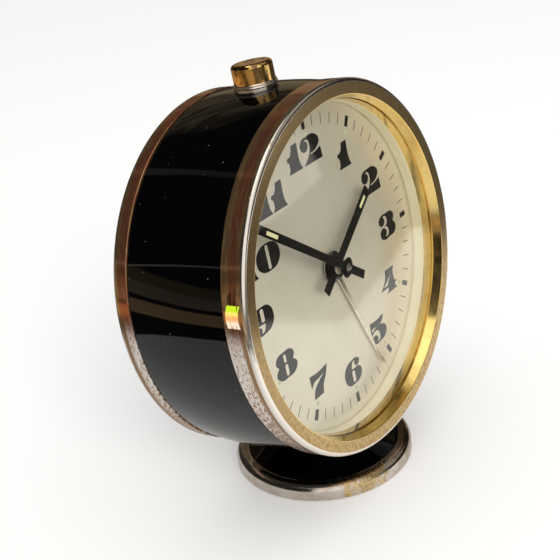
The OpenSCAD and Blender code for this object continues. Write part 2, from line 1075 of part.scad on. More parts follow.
module alarm_mainspring() {
  color(blued)
    head()
      mainspring(alarm_great_at, alarm_spring);
}

module alarm_key() {
  color(gold)
    head()
      key(alarm_great_at, alarm_key_angle);
}

// ---------- going train ----------

// A staff between the plates, with a thin pivot at each end
module staff(at) {
  rod(staff_r, plate_back + 0.1, back_plate_front - 0.1, at);
  rod(pivot_r, plate_front, back_plate_back, at);
}

centre_phase = 0;
third_pinion_phase = mesh_phase(centre_teeth, centre_phase, third_pinion_teeth, third_angle);
third_phase = 0;
fourth_pinion_phase = mesh_phase(third_teeth, third_phase, fourth_pinion_teeth, fourth_angle);
fourth_phase = 0;
escape_pinion_phase = mesh_phase(fourth_teeth, fourth_phase, escape_pinion_teeth, escape_angle);

// Friction drive: this sleeve turns with the train and slips on the hand arbor
module centre_wheel() {
  color(brass)
    head()
      difference() {
        union() {
          rod(1.8, plate_back + 0.2, centre_depth + 1.2);
          flat(great_depth - 0.1, great_thick + 0.2)
            gear_outline(centre_pinion_teeth, great_m, centre_pinion_phase);
          flat(centre_depth, wheel_thick)
            difference() {
              gear_outline(centre_teeth, centre_m, centre_phase);
              crossings(7.6, 3);
            }
        }
        rod(set_r + play, 0, drum_depth);
      }
}

module third_wheel() {
  color(brass)
    head()
      union() {
        staff(third_at);
        flat(centre_depth - 0.1, 0.9, third_at)
          gear_outline(third_pinion_teeth, centre_m, third_pinion_phase);
        flat(third_depth, wheel_thick, third_at)
          difference() {
            gear_outline(third_teeth, third_m, third_phase);
            crossings(6.6, 2.6);
          }
      }
}

module fourth_wheel() {
  color(brass)
    head()
      union() {
        staff(fourth_at);
        flat(third_depth - 0.1, 0.9, fourth_at)
          gear_outline(fourth_pinion_teeth, third_m, fourth_pinion_phase);
        flat(fourth_depth, wheel_thick, fourth_at)
          difference() {
            gear_outline(fourth_teeth, fourth_m, fourth_phase);
            crossings(6, 2.4);
          }
      }
}

module escape_wheel() {
  color(brass)
    head()
      union() {
        staff(escape_at);
        flat(fourth_depth - 0.1, 0.9, escape_at)
          gear_outline(escape_pinion_teeth, fourth_m, escape_pinion_phase);
        flat(escape_depth, 0.8, escape_at)
          difference() {
            saw_outline(escape_teeth, escape_r, escape_r - 1.6, 0.2);
            crossings(2.9, 1);
          }
      }
}

// Lever with two pins over the escape wheel and a fork beside the balance
module pallet_lever() {
  pin_r = 0.35;
  pin_circle = escape_r + pin_r + 0.6;
  color(steel)
    head()
      union() {
        staff(pallet_at);
        flat(escape_depth + 1, 0.7, pallet_at)
          rotate(fork_lean)
            difference() {
              translate([-1.6, -0.8])
                square([9.8, 1.6]);
              translate([7, -0.4])
                square([2, 0.8]);
            }
        for (side = [-1, 1]) {
          pin_at = escape_at + polar(pallet_angle + 30 * side, pin_circle);
          rod(pin_r, escape_depth - 0.2, escape_depth + 1.4, pin_at);
          flat(escape_depth + 1, 0.7, pallet_at)
            pallet_arm(pin_at - pallet_at);
        }
      }
}

// Arm from a staff to a pin
module pallet_arm(to) {
  rotate(atan2(to[1], to[0]))
    translate([0, -0.6])
      square([norm(to) + 0.5, 1.2]);
}

module balance_wheel() {
  rim = 9;
  color(brass)
    head()
      union() {
        staff(balance_at);
        flat(balance_depth, 1.1, balance_at)
          difference() {
            circle(r = rim);
            difference() {
              circle(r = rim - 1.3);
              circle(r = 1.6);
              for (angle = [0, 120, 240])
                rotate(angle)
                  translate([0, -0.5])
                    square([rim, 1]);
            }
          }
        // Impulse pin, just short of the fork
        rod(0.3, escape_depth + 1, balance_depth, balance_at + polar(45, 1.45));
      }
}

module hairspring() {
  color(blued)
    head()
      flat(hairspring_depth, 0.6, balance_at)
        spiral_outline(1.3, 5.2, 6, 0.14);
}

// Index that shortens or lengthens the hairspring; its tab passes through the cover
module regulator() {
  front = back_plate_back + 0.1;
  width = 1.8;
  thick = 0.8;
  color(brass)
    head()
      difference() {
        union() {
          rod(2.4, front, front + thick, balance_at);
          flat(front, thick, balance_at)
            rotate(index_angle)
              translate([0, -width / 2])
                square([tab_at + 1, width]);
          translate([balance_at[0], front, balance_at[1]])
            rotate([0, -index_angle, 0])
              translate([tab_at, 0, -width / 2])
                cube([thick, cover_back + 1.3 - back_plate_back, width]);
        }
        rod(0.8 + play, front - 1, cover_back + 3, balance_at);
      }
}

// ---------- alarm train ----------

alarm_second_pinion_phase = mesh_phase(alarm_great_teeth, alarm_great_phase,
  alarm_second_pinion_teeth, alarm_second_angle);
alarm_second_phase = 0;
alarm_escape_pinion_phase = mesh_phase(alarm_second_teeth, alarm_second_phase,
  alarm_escape_pinion_teeth, alarm_escape_angle);

module alarm_second_wheel() {
  color(brass)
    head()
      union() {
        staff(alarm_second_at);
        flat(great_depth - 0.1, great_thick + 0.2, alarm_second_at)
          gear_outline(alarm_second_pinion_teeth, great_m, alarm_second_pinion_phase);
        flat(alarm_second_depth, wheel_thick, alarm_second_at)
          difference() {
            gear_outline(alarm_second_teeth, centre_m, alarm_second_phase);
            crossings(4.4, 1.3);
          }
      }
}

module alarm_escape_wheel() {
  color(brass)
    head()
      union() {
        staff(alarm_escape_at);
        flat(alarm_second_depth - 0.1, 0.9, alarm_escape_at)
          gear_outline(alarm_escape_pinion_teeth, centre_m, alarm_escape_pinion_phase);
        flat(alarm_escape_depth, 0.8, alarm_escape_at)
          saw_outline(alarm_escape_teeth, alarm_escape_r, alarm_escape_r - 1.5, 0.5);
      }
}

// Hammer staff, its pallet over the alarm escape wheel, and the arm that strikes the bell
module hammer() {
  head_at = polar(-54.5, bell_r + 3.6);
  arm = head_at - hammer_at;
  color(steel)
    head()
      union() {
        rod(pivot_r, plate_front, plate_back + 0.1, hammer_at);
        rod(staff_r, plate_back + 0.1, hammer_depth + 1.6, hammer_at);
        flat(alarm_escape_depth, 0.8, hammer_at)
          rotate(120)
            translate([-2, -0.7])
              square([3.6, 1.4]);
        flat(hammer_depth, 0.9, hammer_at)
          pallet_arm(arm);
        rod(2.8, hammer_depth - 0.4, hammer_depth + 2.8, head_at);
      }
}

module bell() {
  wall = 1;
  color(nickel)
    head()
      difference() {
        turned([[0, bell_back - wall], [bell_r - wall - 1, bell_back - wall],
          [bell_r - wall, bell_back - wall - 1], [bell_r - wall, bell_front],
          [bell_r, bell_front], [bell_r, bell_back - 1.4], [bell_r - 1.4, bell_back], [0, bell_back]]);
        for (at = [centre_at, time_great_at, alarm_great_at, alarm_set_at])
          rod(3, bell_front, bell_back + 1, at);
        for (z = bell_post_offsets)
          rod(1, bell_front, bell_back + 1, [0, z]);
      }
}

module bell_posts() {
  color(brass)
    head()
      for (z = bell_post_offsets)
        difference() {
          union() {
            rod(2, back_plate_back, bell_back - 1, [0, z]);
            rod(bell_rivet_r, back_plate_front, back_plate_back, [0, z]);
          }
          rod(0.75, back_plate_back + 1, bell_back, [0, z]);
        }
}

module bell_screws() {
  color(steel)
    head()
      for (z = bell_post_offsets)
        slotted_screw([0, z], 1.9, 0.7, 0.7, back_plate_back + 1.2, bell_back);
}

case_band();
front_bezel();
rear_rim();
rear_cover();
cover_screws();
crystal();
crystal_ring();
dial_spacer_ring();
dial_plate();
foot_disc();
foot_rim();
foot_pad();
foot_neck();
foot_bolt();
foot_nut();
button_cap();
button_collar();
button_spring();
button_bracket();
stop_lever();
minute_hand();
hour_hand();
alarm_hand();
front_plate();
back_plate();
plate_pillars();
pillar_nuts();
movement_ring();
hand_arbor();
cannon_pinion();
minute_wheel();
hour_wheel();
alarm_wheel();
hand_set_knob();
alarm_set_arbor();
alarm_set_knob();
time_great_wheel();
time_winding_arbor();
time_click();
time_mainspring();
time_key();
centre_wheel();
third_wheel();
fourth_wheel();
escape_wheel();
pallet_lever();
balance_wheel();
hairspring();
regulator();
alarm_great_wheel();
alarm_winding_arbor();
alarm_click();
alarm_mainspring();
alarm_key();
alarm_second_wheel();
alarm_escape_wheel();
hammer();
bell();
bell_posts();
bell_screws();
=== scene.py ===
"""Looks of the wind-up alarm clock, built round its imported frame.

Round pieces are modelled in the drum's own frame: x to the right, y back from
the front face along the drum's axis, z up.  Lengths are in metres.
"""

import json
import math

import bmesh
import bpy
from mathutils import Matrix, Vector


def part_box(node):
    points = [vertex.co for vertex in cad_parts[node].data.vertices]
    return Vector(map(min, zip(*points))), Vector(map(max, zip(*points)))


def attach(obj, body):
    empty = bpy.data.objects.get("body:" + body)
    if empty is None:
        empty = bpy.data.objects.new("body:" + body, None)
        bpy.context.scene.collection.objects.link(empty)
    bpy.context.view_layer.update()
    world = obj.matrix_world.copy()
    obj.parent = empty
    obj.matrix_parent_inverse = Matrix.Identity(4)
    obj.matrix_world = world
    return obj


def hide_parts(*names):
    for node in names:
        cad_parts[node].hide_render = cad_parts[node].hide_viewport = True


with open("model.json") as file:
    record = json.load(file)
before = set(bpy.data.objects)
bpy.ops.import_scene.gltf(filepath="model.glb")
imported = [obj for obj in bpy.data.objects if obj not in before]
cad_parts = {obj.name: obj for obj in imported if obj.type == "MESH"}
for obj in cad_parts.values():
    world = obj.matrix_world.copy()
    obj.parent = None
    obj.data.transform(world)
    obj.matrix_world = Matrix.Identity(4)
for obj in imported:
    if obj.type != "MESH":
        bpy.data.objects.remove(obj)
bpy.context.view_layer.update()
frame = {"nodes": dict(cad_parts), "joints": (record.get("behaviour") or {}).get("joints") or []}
MM = 0.001

# ---------- places taken from the frame ----------

JOINTS = {joint["name"]: joint for joint in frame["joints"]}
AXIS = Vector(JOINTS["set_hands"]["axis"])
ON_AXIS = Vector(JOINTS["set_hands"]["pos_m"])
RIGHT = Vector((1, 0, 0))
UP = RIGHT.cross(AXIS)


def along(point, origin=ON_AXIS):
    """A point in the drum's directions, counted from an origin on its axis."""
    offset = point - origin
    return Vector((offset.dot(RIGHT), offset.dot(AXIS), offset.dot(UP)))


FRONT = min(along(v.co).y for v in frame["nodes"]["front_bezel"].data.vertices)
DRUM_ORIGIN = ON_AXIS + AXIS * FRONT
DRUM = Matrix.Translation(DRUM_ORIGIN) @ Matrix((RIGHT, AXIS, UP)).transposed().to_4x4()
FOOT = Matrix.Rotation(math.radians(90), 4, "X")


class Extent:
    """Front and back depth, and inner and outer radius, of a CAD node about the drum's axis."""

    def __init__(self, node):
        points = [along(v.co, DRUM_ORIGIN) for v in frame["nodes"][node].data.vertices]
        radii = [math.hypot(p.x, p.z) for p in points]
        self.front = min(p.y for p in points)
        self.back = max(p.y for p in points)
        self.inner = min(radii)
        self.outer = max(radii)


BEZEL = Extent("front_bezel")
BAND = Extent("case_band")
REAR = Extent("rear_rim")
DIAL = Extent("dial_plate")
CRYSTAL = Extent("crystal")
SPACER = Extent("dial_spacer_ring")
GLASS_RING = Extent("crystal_ring")
MINUTE = Extent("minute_hand")
HOUR = Extent("hour_hand")
ALARM = Extent("alarm_hand")
RIM_R = BEZEL.outer

# ---------- mesh helpers ----------


def finish_piece(mesh, name, place, body, materials, sharp=35):
    """An object of a mesh, with smooth faces and sharp edges, that rides on a body."""
    mesh.polygons.foreach_set("use_smooth", [True] * len(mesh.polygons))
    mesh.set_sharp_from_angle(angle=math.radians(sharp))
    for material in materials:
        mesh.materials.append(material)
    piece = bpy.data.objects.new(name, mesh)
    bpy.context.scene.collection.objects.link(piece)
    piece.matrix_world = place
    flats = piece.modifiers.new("Flats", "WEIGHTED_NORMAL")
    flats.keep_sharp = True
    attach(piece, body)
    return piece


def turned(name, section, materials, body="case", place=DRUM, steps=288, closed=True, zones=None):
    """A round piece about the place's y axis from its half section of (radius, depth) points.
    zones gives each stretch of the section the number of its material."""
    vertices = []
    rings = []
    for radius, depth in section:
        if radius < 1e-7:
            rings.append([len(vertices)] * steps)
            vertices.append((0, depth, 0))
            continue
        rings.append(list(range(len(vertices), len(vertices) + steps)))
        for step in range(steps):
            turn = 2 * math.pi * step / steps
            vertices.append((radius * math.sin(turn), depth, radius * math.cos(turn)))
    faces = []
    face_zones = []
    stretches = len(section) if closed else len(section) - 1
    for k in range(stretches):
        here, there = rings[k], rings[(k + 1) % len(section)]
        for step in range(steps):
            ahead = (step + 1) % steps
            corners = [here[step], there[step], there[ahead], here[ahead]]
            corners = list(dict.fromkeys(corners))
            if len(corners) > 2:
                faces.append(corners)
                face_zones.append(zones[k] if zones else 0)
    mesh = bpy.data.meshes.new(name)
    mesh.from_pydata(vertices, [], faces)
    mesh.polygons.foreach_set("material_index", face_zones)
    outward = bmesh.new()
    outward.from_mesh(mesh)
    bmesh.ops.recalc_face_normals(outward, faces=outward.faces)
    outward.to_mesh(mesh)
    outward.free()
    return finish_piece(mesh, name, place, body, materials)


def joined(stretches):
    """Section and zones from stretches of (points, their zone, zone of the line on to the next stretch)."""
    section = []
    zones = []
    for points, zone, onward in stretches:
        section += points
        zones += [zone] * (len(points) - 1) + [onward]
    return section, zones


def arc(centre, radius, start, end, steps=8):
    """Points on an arc, with angles in degrees."""
    turns = [math.radians(start + (end - start) * k / steps) for k in range(steps + 1)]
    return [(centre[0] + radius * math.cos(t), centre[1] + radius * math.sin(t)) for t in turns]


def flat_piece(name, outlines, depth, thick, materials, body, bevel=0.0, place=DRUM, resolution=8):
    """A flat piece with its front at a depth, from closed outlines of (x, z, kind) points.
    Kind "c" is a corner and "s" is a smooth point; an outline inside another is a hole."""
    curve = bpy.data.curves.new(name, "CURVE")
    curve.dimensions = "2D"
    curve.fill_mode = "BOTH"
    curve.extrude = thick / 2 - bevel
    curve.bevel_depth = bevel
    curve.offset = -bevel
    curve.bevel_resolution = 2
    curve.resolution_u = resolution
    for outline in outlines:
        spline = curve.splines.new("BEZIER")
        spline.bezier_points.add(len(outline) - 1)
        spline.use_cyclic_u = True
        for knot, (x, z, kind) in zip(spline.bezier_points, outline):
            knot.co = (x, z, 0)
            knot.handle_left_type = knot.handle_right_type = "VECTOR" if kind == "c" else "AUTO"
    maker = bpy.data.objects.new(name + "_outline", curve)
    bpy.context.scene.collection.objects.link(maker)
    bpy.context.view_layer.update()
    mesh = bpy.data.meshes.new_from_object(maker)
    bpy.data.objects.remove(maker)
    bpy.data.curves.remove(curve)
    mesh.materials.clear()
    stand = Matrix.Translation((0, depth + thick / 2, 0)) @ Matrix.Rotation(math.radians(90), 4, "X")
    mesh.transform(stand)
    mesh.name = name
    return finish_piece(mesh, name, place, body, materials, sharp=30)


def ring_outline(radius, centre=(0, 0), knots=8):
    return [(centre[0] + radius * math.cos(2 * math.pi * k / knots),
             centre[1] + radius * math.sin(2 * math.pi * k / knots), "s") for k in range(knots)]


def turned_outline(outline, angle, radius=0.0):
    """An outline drawn along +z from the centre, turned clockwise to a clock angle in degrees."""
    turn = math.radians(angle)
    return [(x * math.cos(turn) + (z + radius) * math.sin(turn),
             (z + radius) * math.cos(turn) - x * math.sin(turn), kind) for x, z, kind in outline]


def bar_outline(width, start, end):
    half = width / 2
    return [(-half, start, "c"), (half, start, "c"), (half, end, "c"), (-half, end, "c")]


# ---------- materials ----------


class Nodes:
    """A node tree of a material or the world, put together one node at a time."""

    def __init__(self, tree, coordinates):
        self.tree = tree
        self.place = self.node("ShaderNodeTexCoord").outputs[coordinates]

    def node(self, kind, **settings):
        made = self.tree.nodes.new(kind)
        for key, value in settings.items():
            setattr(made, key, value)
        return made

    def feed(self, socket, value):
        """Sets an input to a plain value or links it to an output."""
        if isinstance(value, bpy.types.NodeSocket):
            self.tree.links.new(value, socket)
        elif isinstance(value, tuple) and len(value) == 3 and socket.type == "RGBA":
            socket.default_value = (*value, 1)
        else:
            socket.default_value = value

    def math(self, operation, a, b=0.0, c=0.0, clamp=False):
        made = self.node("ShaderNodeMath", operation=operation, use_clamp=clamp)
        for socket, value in zip(made.inputs, (a, b, c)):
            self.feed(socket, value)
        return made.outputs[0]

    def mix(self, share, a, b):
        made = self.node("ShaderNodeMix", data_type="RGBA")
        self.feed(made.inputs["Factor"], share)
        self.feed(made.inputs[6], a)
        self.feed(made.inputs[7], b)
        return made.outputs[2]

    def stretched(self, scale):
        made = self.node("ShaderNodeMapping")
        self.feed(made.inputs["Vector"], self.place)
        self.feed(made.inputs["Scale"], scale)
        return made.outputs[0]

    def noise(self, size, detail=3.0, roughness=0.55, where=None, distortion=0.0):
        """Noise whose features are about the given size in metres."""
        made = self.node("ShaderNodeTexNoise")
        self.feed(made.inputs["Vector"], where or self.place)
        self.feed(made.inputs["Scale"], 1 / size)
        self.feed(made.inputs["Detail"], detail)
        self.feed(made.inputs["Roughness"], roughness)
        self.feed(made.inputs["Distortion"], distortion)
        return made.outputs["Fac"]

    def cells(self, size, where=None):
        made = self.node("ShaderNodeTexVoronoi")
        self.feed(made.inputs["Vector"], where or self.place)
        self.feed(made.inputs["Scale"], 1 / size)
        return made.outputs["Distance"]

    def span(self, value, low, high, to_low=0.0, to_high=1.0):
        made = self.node("ShaderNodeMapRange", interpolation_type="SMOOTHSTEP")
        for label, given in (("Value", value), ("From Min", low), ("From Max", high),
                             ("To Min", to_low), ("To Max", to_high)):
            self.feed(made.inputs[label], given)
        return made.outputs[0]

    def vector(self, operation, a, b=(0, 0, 0)):
        made = self.node("ShaderNodeVectorMath", operation=operation)
        self.feed(made.inputs[0], a)
        self.feed(made.inputs[1], b)
        return made.outputs[0]

    def dot(self, a, b):
        made = self.node("ShaderNodeVectorMath", operation="DOT_PRODUCT")
        self.feed(made.inputs[0], a)
        self.feed(made.inputs[1], b)
        return made.outputs["Value"]

    def length(self, a):
        made = self.node("ShaderNodeVectorMath", operation="LENGTH")
        self.feed(made.inputs[0], a)
        return made.outputs["Value"]

    def coordinate(self, axis):
        made = self.node("ShaderNodeSeparateXYZ")
        self.feed(made.inputs[0], self.place)
        return made.outputs[axis]

    def wrapped(self, stretch):
        """Coordinates rolled round the drum's rim and stretched along it."""
        turn = self.math("ARCTAN2", self.coordinate(0), self.coordinate(2))
        made = self.node("ShaderNodeCombineXYZ")
        self.feed(made.inputs[0], self.math("MULTIPLY", turn, RIM_R / stretch))
        self.feed(made.inputs[1], self.coordinate(1))
        return made.outputs[0]

    def both(self, a, b):
        return self.math("MULTIPLY", a, b)

    def within(self, value, low, high, soft):
        """1 between two values, falling to 0 over a soft margin outside them."""
        rising = self.span(value, low - soft, low)
        falling = self.span(value, high, high + soft, 1, 0)
        return self.math("MULTIPLY", rising, falling)

    def seen_in_mirror(self):
        return self.node("ShaderNodeLightPath").outputs["Is Glossy Ray"]


class Shader(Nodes):
    """A node-based material round one principled surface."""

    def __init__(self, name, roughness=0.5, metallic=0.0):
        self.material = bpy.data.materials.new(name)
        self.material.use_nodes = True
        super().__init__(self.material.node_tree, "Object")
        self.surface = self.tree.nodes["Principled BSDF"]
        self.set("Roughness", roughness)
        self.set("Metallic", metallic)

    def set(self, label, value):
        self.feed(self.surface.inputs[label], value)

    def bump(self, height, depth, strength=1.0, below=None):
        made = self.node("ShaderNodeBump")
        self.feed(made.inputs["Height"], height)
        self.feed(made.inputs["Distance"], depth)
        self.feed(made.inputs["Strength"], strength)
        if below is not None:
            self.feed(made.inputs["Normal"], below)
        self.feed(self.surface.inputs["Normal"], made.outputs[0])
        return made.outputs[0]


def black_lacquer():
    """Mirror gloss with a little ripple, faint haze and specks of dust."""
    shader = Shader("black_lacquer")
    dust = shader.span(shader.cells(2.4 * MM), 0.03, 0.06, 1, 0)
    specks = shader.both(dust, shader.span(shader.noise(6 * MM), 0.52, 0.58))
    haze = shader.noise(9 * MM, 5)
    shader.set("Base Color", shader.mix(specks, (0.0008, 0.0008, 0.0009), (0.30, 0.27, 0.21)))
    shader.set("Roughness", shader.math("ADD", shader.span(haze, 0.35, 0.75, 0.015, 0.05),
                                        shader.both(specks, 0.5)))
    shader.bump(shader.noise(16 * MM, 2), 0.10 * MM, 0.35)
    return shader.material


def polished_gold(name="polished_gold", tone=(0.96, 0.70, 0.26), haze=0.12):
    """Bright gilding with faint tarnish clouds and hairline scratches."""
    shader = Shader(name, metallic=1.0)
    clouds = shader.noise(6 * MM, 6, 0.6)
    tarnish = tuple(c * f for c, f in zip(tone, (0.80, 0.74, 0.60)))
    shader.set("Base Color", shader.mix(shader.span(clouds, 0.5, 0.8), tone, tarnish))
    scratches = shader.noise(1.2 * MM, 4, 0.6, shader.stretched((1, 12, 1)))
    shader.set("Roughness", shader.span(shader.math("ADD", scratches, clouds), 0.6, 1.5, haze * 0.6, haze * 2.2))
    shader.bump(scratches, 0.01 * MM, 0.25)
    return shader.material


def tarnished_gold():
    """Gilding with brown tarnish in upright streaks, dull where fingers press."""
    shader = Shader("tarnished_gold", metallic=1.0)
    streaks = shader.noise(1.9 * MM, 5, 0.6, shader.stretched((1, 0.35, 1)))
    grain = shader.noise(0.5 * MM, 4, 0.7)
    dull = shader.span(shader.math("ADD", streaks, shader.both(grain, 0.25)), 0.58, 0.72)
    gold = shader.mix(shader.span(grain, 0.45, 0.7), (0.93, 0.62, 0.22), (0.84, 0.48, 0.14))
    shader.set("Base Color", shader.mix(dull, gold, (0.26, 0.15, 0.07)))
    shader.set("Roughness", shader.span(dull, 0, 1, 0.08, 0.26))
    shader.bump(streaks, 0.05 * MM, 0.4)
    return shader.material


def worn_rim(name, edge):
    """Plating on the side of a rim, rubbed along it: reddish brown above, and below it has
    crazed so that pale nickel shows in flakes.  edge is the depth of the rim's rounded edge.
    A painted glint of a coloured lamp glows in it as emission, and a painted dark reflection darkens it, both only
    where it mirrors one direction."""
    shader = Shader(name, metallic=0.88)
    height = shader.coordinate(2)
    from_edge = shader.math("ABSOLUTE", shader.math("SUBTRACT", shader.coordinate(1), edge))
    cloud = shader.noise(5 * MM, 6, 0.65)
    rubbed = shader.noise(1.1 * MM, 5, 0.65, shader.wrapped(9))
    lines = shader.noise(0.35 * MM, 3, 0.6, shader.wrapped(22))
    middle = shader.within(shader.math("ADD", from_edge, shader.both(cloud, 1.5 * MM)), 3.2 * MM, 5.2 * MM, 0.8 * MM)
    brown = shader.mix(shader.span(rubbed, 0.38, 0.62), (0.34, 0.18, 0.09), (0.48, 0.31, 0.13))
    brown = shader.mix(shader.both(middle, 0.75), brown, (0.40, 0.12, 0.07))
    brown = shader.mix(shader.both(shader.span(lines, 0.55, 0.68), 0.6), brown, (0.66, 0.50, 0.30))

    flakes = shader.noise(0.5 * MM, 5, 0.6, shader.wrapped(2.2))
    few = shader.span(height, -0.75 * RIM_R, 0, 0.55, 0.41)
    flaked = shader.span(shader.math("SUBTRACT", flakes, few), -0.015, 0.03)
    flaked = shader.both(flaked, shader.span(from_edge, 2.1 * MM, 2.8 * MM))
    nickel = shader.mix(shader.span(lines, 0.42, 0.62), (0.95, 0.88, 0.82), (0.80, 0.68, 0.58))
    crazed = shader.mix(flaked, (0.36, 0.22, 0.12), nickel)
    low = shader.span(shader.math("ADD", height, shader.both(cloud, 12 * MM)), 4 * MM, 14 * MM, 1, 0)
    tone = shader.mix(low, brown, crazed)

    mirrored = shader.node("ShaderNodeSeparateXYZ")
    shader.feed(mirrored.inputs[0], shader.node("ShaderNodeTexCoord").outputs["Reflection"])
    toward = shader.math("ARCTAN2", mirrored.outputs[0], mirrored.outputs[1])
    upward = mirrored.outputs[2]
    streaks = shader.span(rubbed, 0.36, 0.46)
    # Painted glint: emission in the colours of a lamp's reflection, where the rim mirrors one direction.
    lamp_or_painted_glint = shader.both(shader.within(toward, -0.907, -0.886, 0.002), shader.within(upward, -0.28, -0.095, 0.006))
    painted_glint_hue = shader.mix(shader.span(upward, -0.24, -0.21), (1.0, 0.78, 0.60), (0.95, 0.42, 0.16))
    painted_glint_hue = shader.mix(shader.span(upward, -0.19, -0.165), painted_glint_hue, (1.0, 0.78, 0.16))
    painted_glint_hue = shader.mix(shader.span(upward, -0.152, -0.14), painted_glint_hue, (0.55, 0.85, 0.01))
    # Painted dark reflection: the base colour goes near black where the rim mirrors one direction.
    painted_dark_reflection = shader.both(shader.within(toward, -0.925, -0.880, 0.004), shader.within(upward, -0.09, 0.04, 0.01))
    painted_dark_reflection = shader.both(painted_dark_reflection, shader.span(lines, 0.45, 0.6, 1, 0))
    shader.set("Base Color", shader.mix(shader.both(painted_dark_reflection, 0.85), tone, (0.02, 0.015, 0.01)))
    shader.set("Emission Color", painted_glint_hue)
    shader.set("Emission Strength", shader.both(lamp_or_painted_glint, streaks))
    rough = shader.span(rubbed, 0.3, 0.8, 0.07, 0.2)
    shader.set("Roughness", shader.math("ADD", rough, shader.both(low, 0.18)))
    shader.bump(shader.both(flaked, low), 0.04 * MM, 0.7)
    return shader.material


def patina_face():
    """The flat front of the rim: olive brown gilding, flecked at the foot, with painted light making it lighter
    towards the foot and painted shade making it darker on the left.
    """
    shader = Shader("patina_face", metallic=0.9)
    height = shader.coordinate(2)
    mottle = shader.noise(1.1 * MM, 6, 0.75)
    cloud = shader.noise(9 * MM, 4)
    olive = shader.mix(shader.span(mottle, 0.35, 0.7), (0.53, 0.38, 0.19), (0.36, 0.25, 0.11))
    tan = shader.mix(shader.span(mottle, 0.42, 0.62), (0.56, 0.40, 0.18), (0.32, 0.20, 0.08))
    flecks = shader.span(shader.noise(0.5 * MM, 4, 0.7), 0.56, 0.64)
    tan = shader.mix(shader.both(flecks, 0.8), tan, (0.78, 0.58, 0.28))
    # Painted light: lighter towards the foot.
    low = shader.span(shader.math("ADD", height, shader.both(cloud, 20 * MM)), -30 * MM, 8 * MM, 1, 0)
    # Painted shade: darker towards the left.
    left = shader.span(shader.math("ADD", shader.coordinate(0), shader.both(cloud, 10 * MM)), -42 * MM, -26 * MM, 0.62, 1)
    tone = shader.mix(low, olive, tan)
    shader.set("Base Color", shader.mix(left, (0.30, 0.20, 0.09), tone))
    shader.set("Roughness", shader.span(mottle, 0.3, 0.8, 0.14, 0.30))
    shader.bump(mottle, 0.012 * MM, 0.35)
    return shader.material


def bright_nickel(name, tone, patch, share, haze):
    """Bare nickel where the gilding has rubbed away, with warm traces left in it."""
    shader = Shader(name, metallic=1.0)
    grain = shader.noise(0.8 * MM, 4, 0.7)
    cloud = shader.math("ADD", shader.noise(7 * MM, 6, 0.62), shader.both(grain, 0.15))
    traces = shader.span(cloud, share + 0.075, share + 0.135)
    shader.set("Base Color", shader.mix(traces, tone, patch))
    rough = shader.span(grain, 0.3, 0.8, haze, haze + 0.12)
    shader.set("Roughness", shader.math("ADD", rough, shader.both(traces, 0.1)))
    shader.bump(traces, 0.01 * MM, 0.4)
    return shader.material


def foot_plating():
    """The foot's plating: nickel with gilding left in one spot, going darker brown towards the right."""
    shader = Shader("foot_plating", metallic=1.0)
    cloud = shader.noise(4 * MM, 6, 0.65)
    grain = shader.noise(0.8 * MM, 4, 0.7)
    gilt_place = (-0.26 * RIM_R, 0.003, 0.44 * RIM_R)
    near = shader.length(shader.vector("SUBTRACT", shader.place, gilt_place))
    gilt = shader.math("ADD", shader.span(near, 0, 14 * MM, 0.32, 0), shader.both(grain, 0.5))
    gilt = shader.span(shader.math("ADD", gilt, cloud), 0.92, 1.0)
    # Darker brown towards the right.
    brown = shader.span(shader.math("ADD", shader.coordinate(0), shader.both(cloud, 16 * MM)), 2 * MM, 16 * MM)
    tone = shader.mix(shader.span(cloud, 0.4, 0.65), (0.74, 0.67, 0.60), (0.60, 0.52, 0.44))
    tone = shader.mix(brown, tone, (0.34, 0.26, 0.18))
    gold = shader.mix(shader.span(grain, 0.45, 0.6), (0.50, 0.36, 0.18), (0.80, 0.62, 0.34))
    shader.set("Base Color", shader.mix(gilt, tone, gold))
    shader.set("Roughness", shader.math("ADD", shader.span(grain, 0.3, 0.8, 0.13, 0.25), shader.both(gilt, 0.1)))
    shader.bump(shader.both(gilt, grain), 0.04 * MM, 0.6)
    return shader.material


def turned_metal(name, tone, dark, rough=0.22):
    """Machined or stamped metal with fine tool marks and a little staining."""
    shader = Shader(name, metallic=1.0)
    lines = shader.noise(0.25 * MM, 3, 0.6, shader.stretched((1, 9, 1)))
    stains = shader.noise(5 * MM, 5)
    shader.set("Base Color", shader.mix(shader.span(stains, 0.45, 0.8), tone, dark))
    shader.set("Roughness", shader.span(shader.math("ADD", lines, stains), 0.6, 1.5, rough * 0.7, rough * 1.7))
    shader.bump(lines, 0.008 * MM, 0.35)
    return shader.material


def satin_silver():
    """The dial's plate: pale champagne silver with a fine grain and light foxing."""
    shader = Shader("satin_silver", metallic=0.65)
    grain = shader.noise(0.12 * MM, 2, 0.5)
    cloud = shader.noise(14 * MM, 4)
    foxing = shader.span(shader.noise(1.6 * MM, 5, 0.7), 0.66, 0.76)
    plate = shader.mix(shader.span(cloud, 0.35, 0.7), (0.90, 0.85, 0.72), (0.84, 0.79, 0.66))
    shader.set("Base Color", shader.mix(shader.math("MULTIPLY", foxing, 0.18), plate, (0.42, 0.34, 0.20)))
    shader.set("Roughness", shader.span(grain, 0.3, 0.7, 0.34, 0.46))
    shader.bump(grain, 0.004 * MM, 0.35)
    return shader.material


def cream():
    """Aged cream card or plastic between the dial and the glass."""
    shader = Shader("cream", roughness=0.45)
    cloud = shader.noise(8 * MM, 5)
    grime = shader.span(shader.noise(1.5 * MM, 6, 0.7), 0.6, 0.8)
    tone = shader.mix(shader.span(cloud, 0.35, 0.7), (0.96, 0.90, 0.66), (0.92, 0.84, 0.58))
    shader.set("Base Color", shader.mix(shader.math("MULTIPLY", grime, 0.25), tone, (0.50, 0.38, 0.20)))
    shader.bump(shader.noise(0.5 * MM), 0.01 * MM, 0.3)
    return shader.material


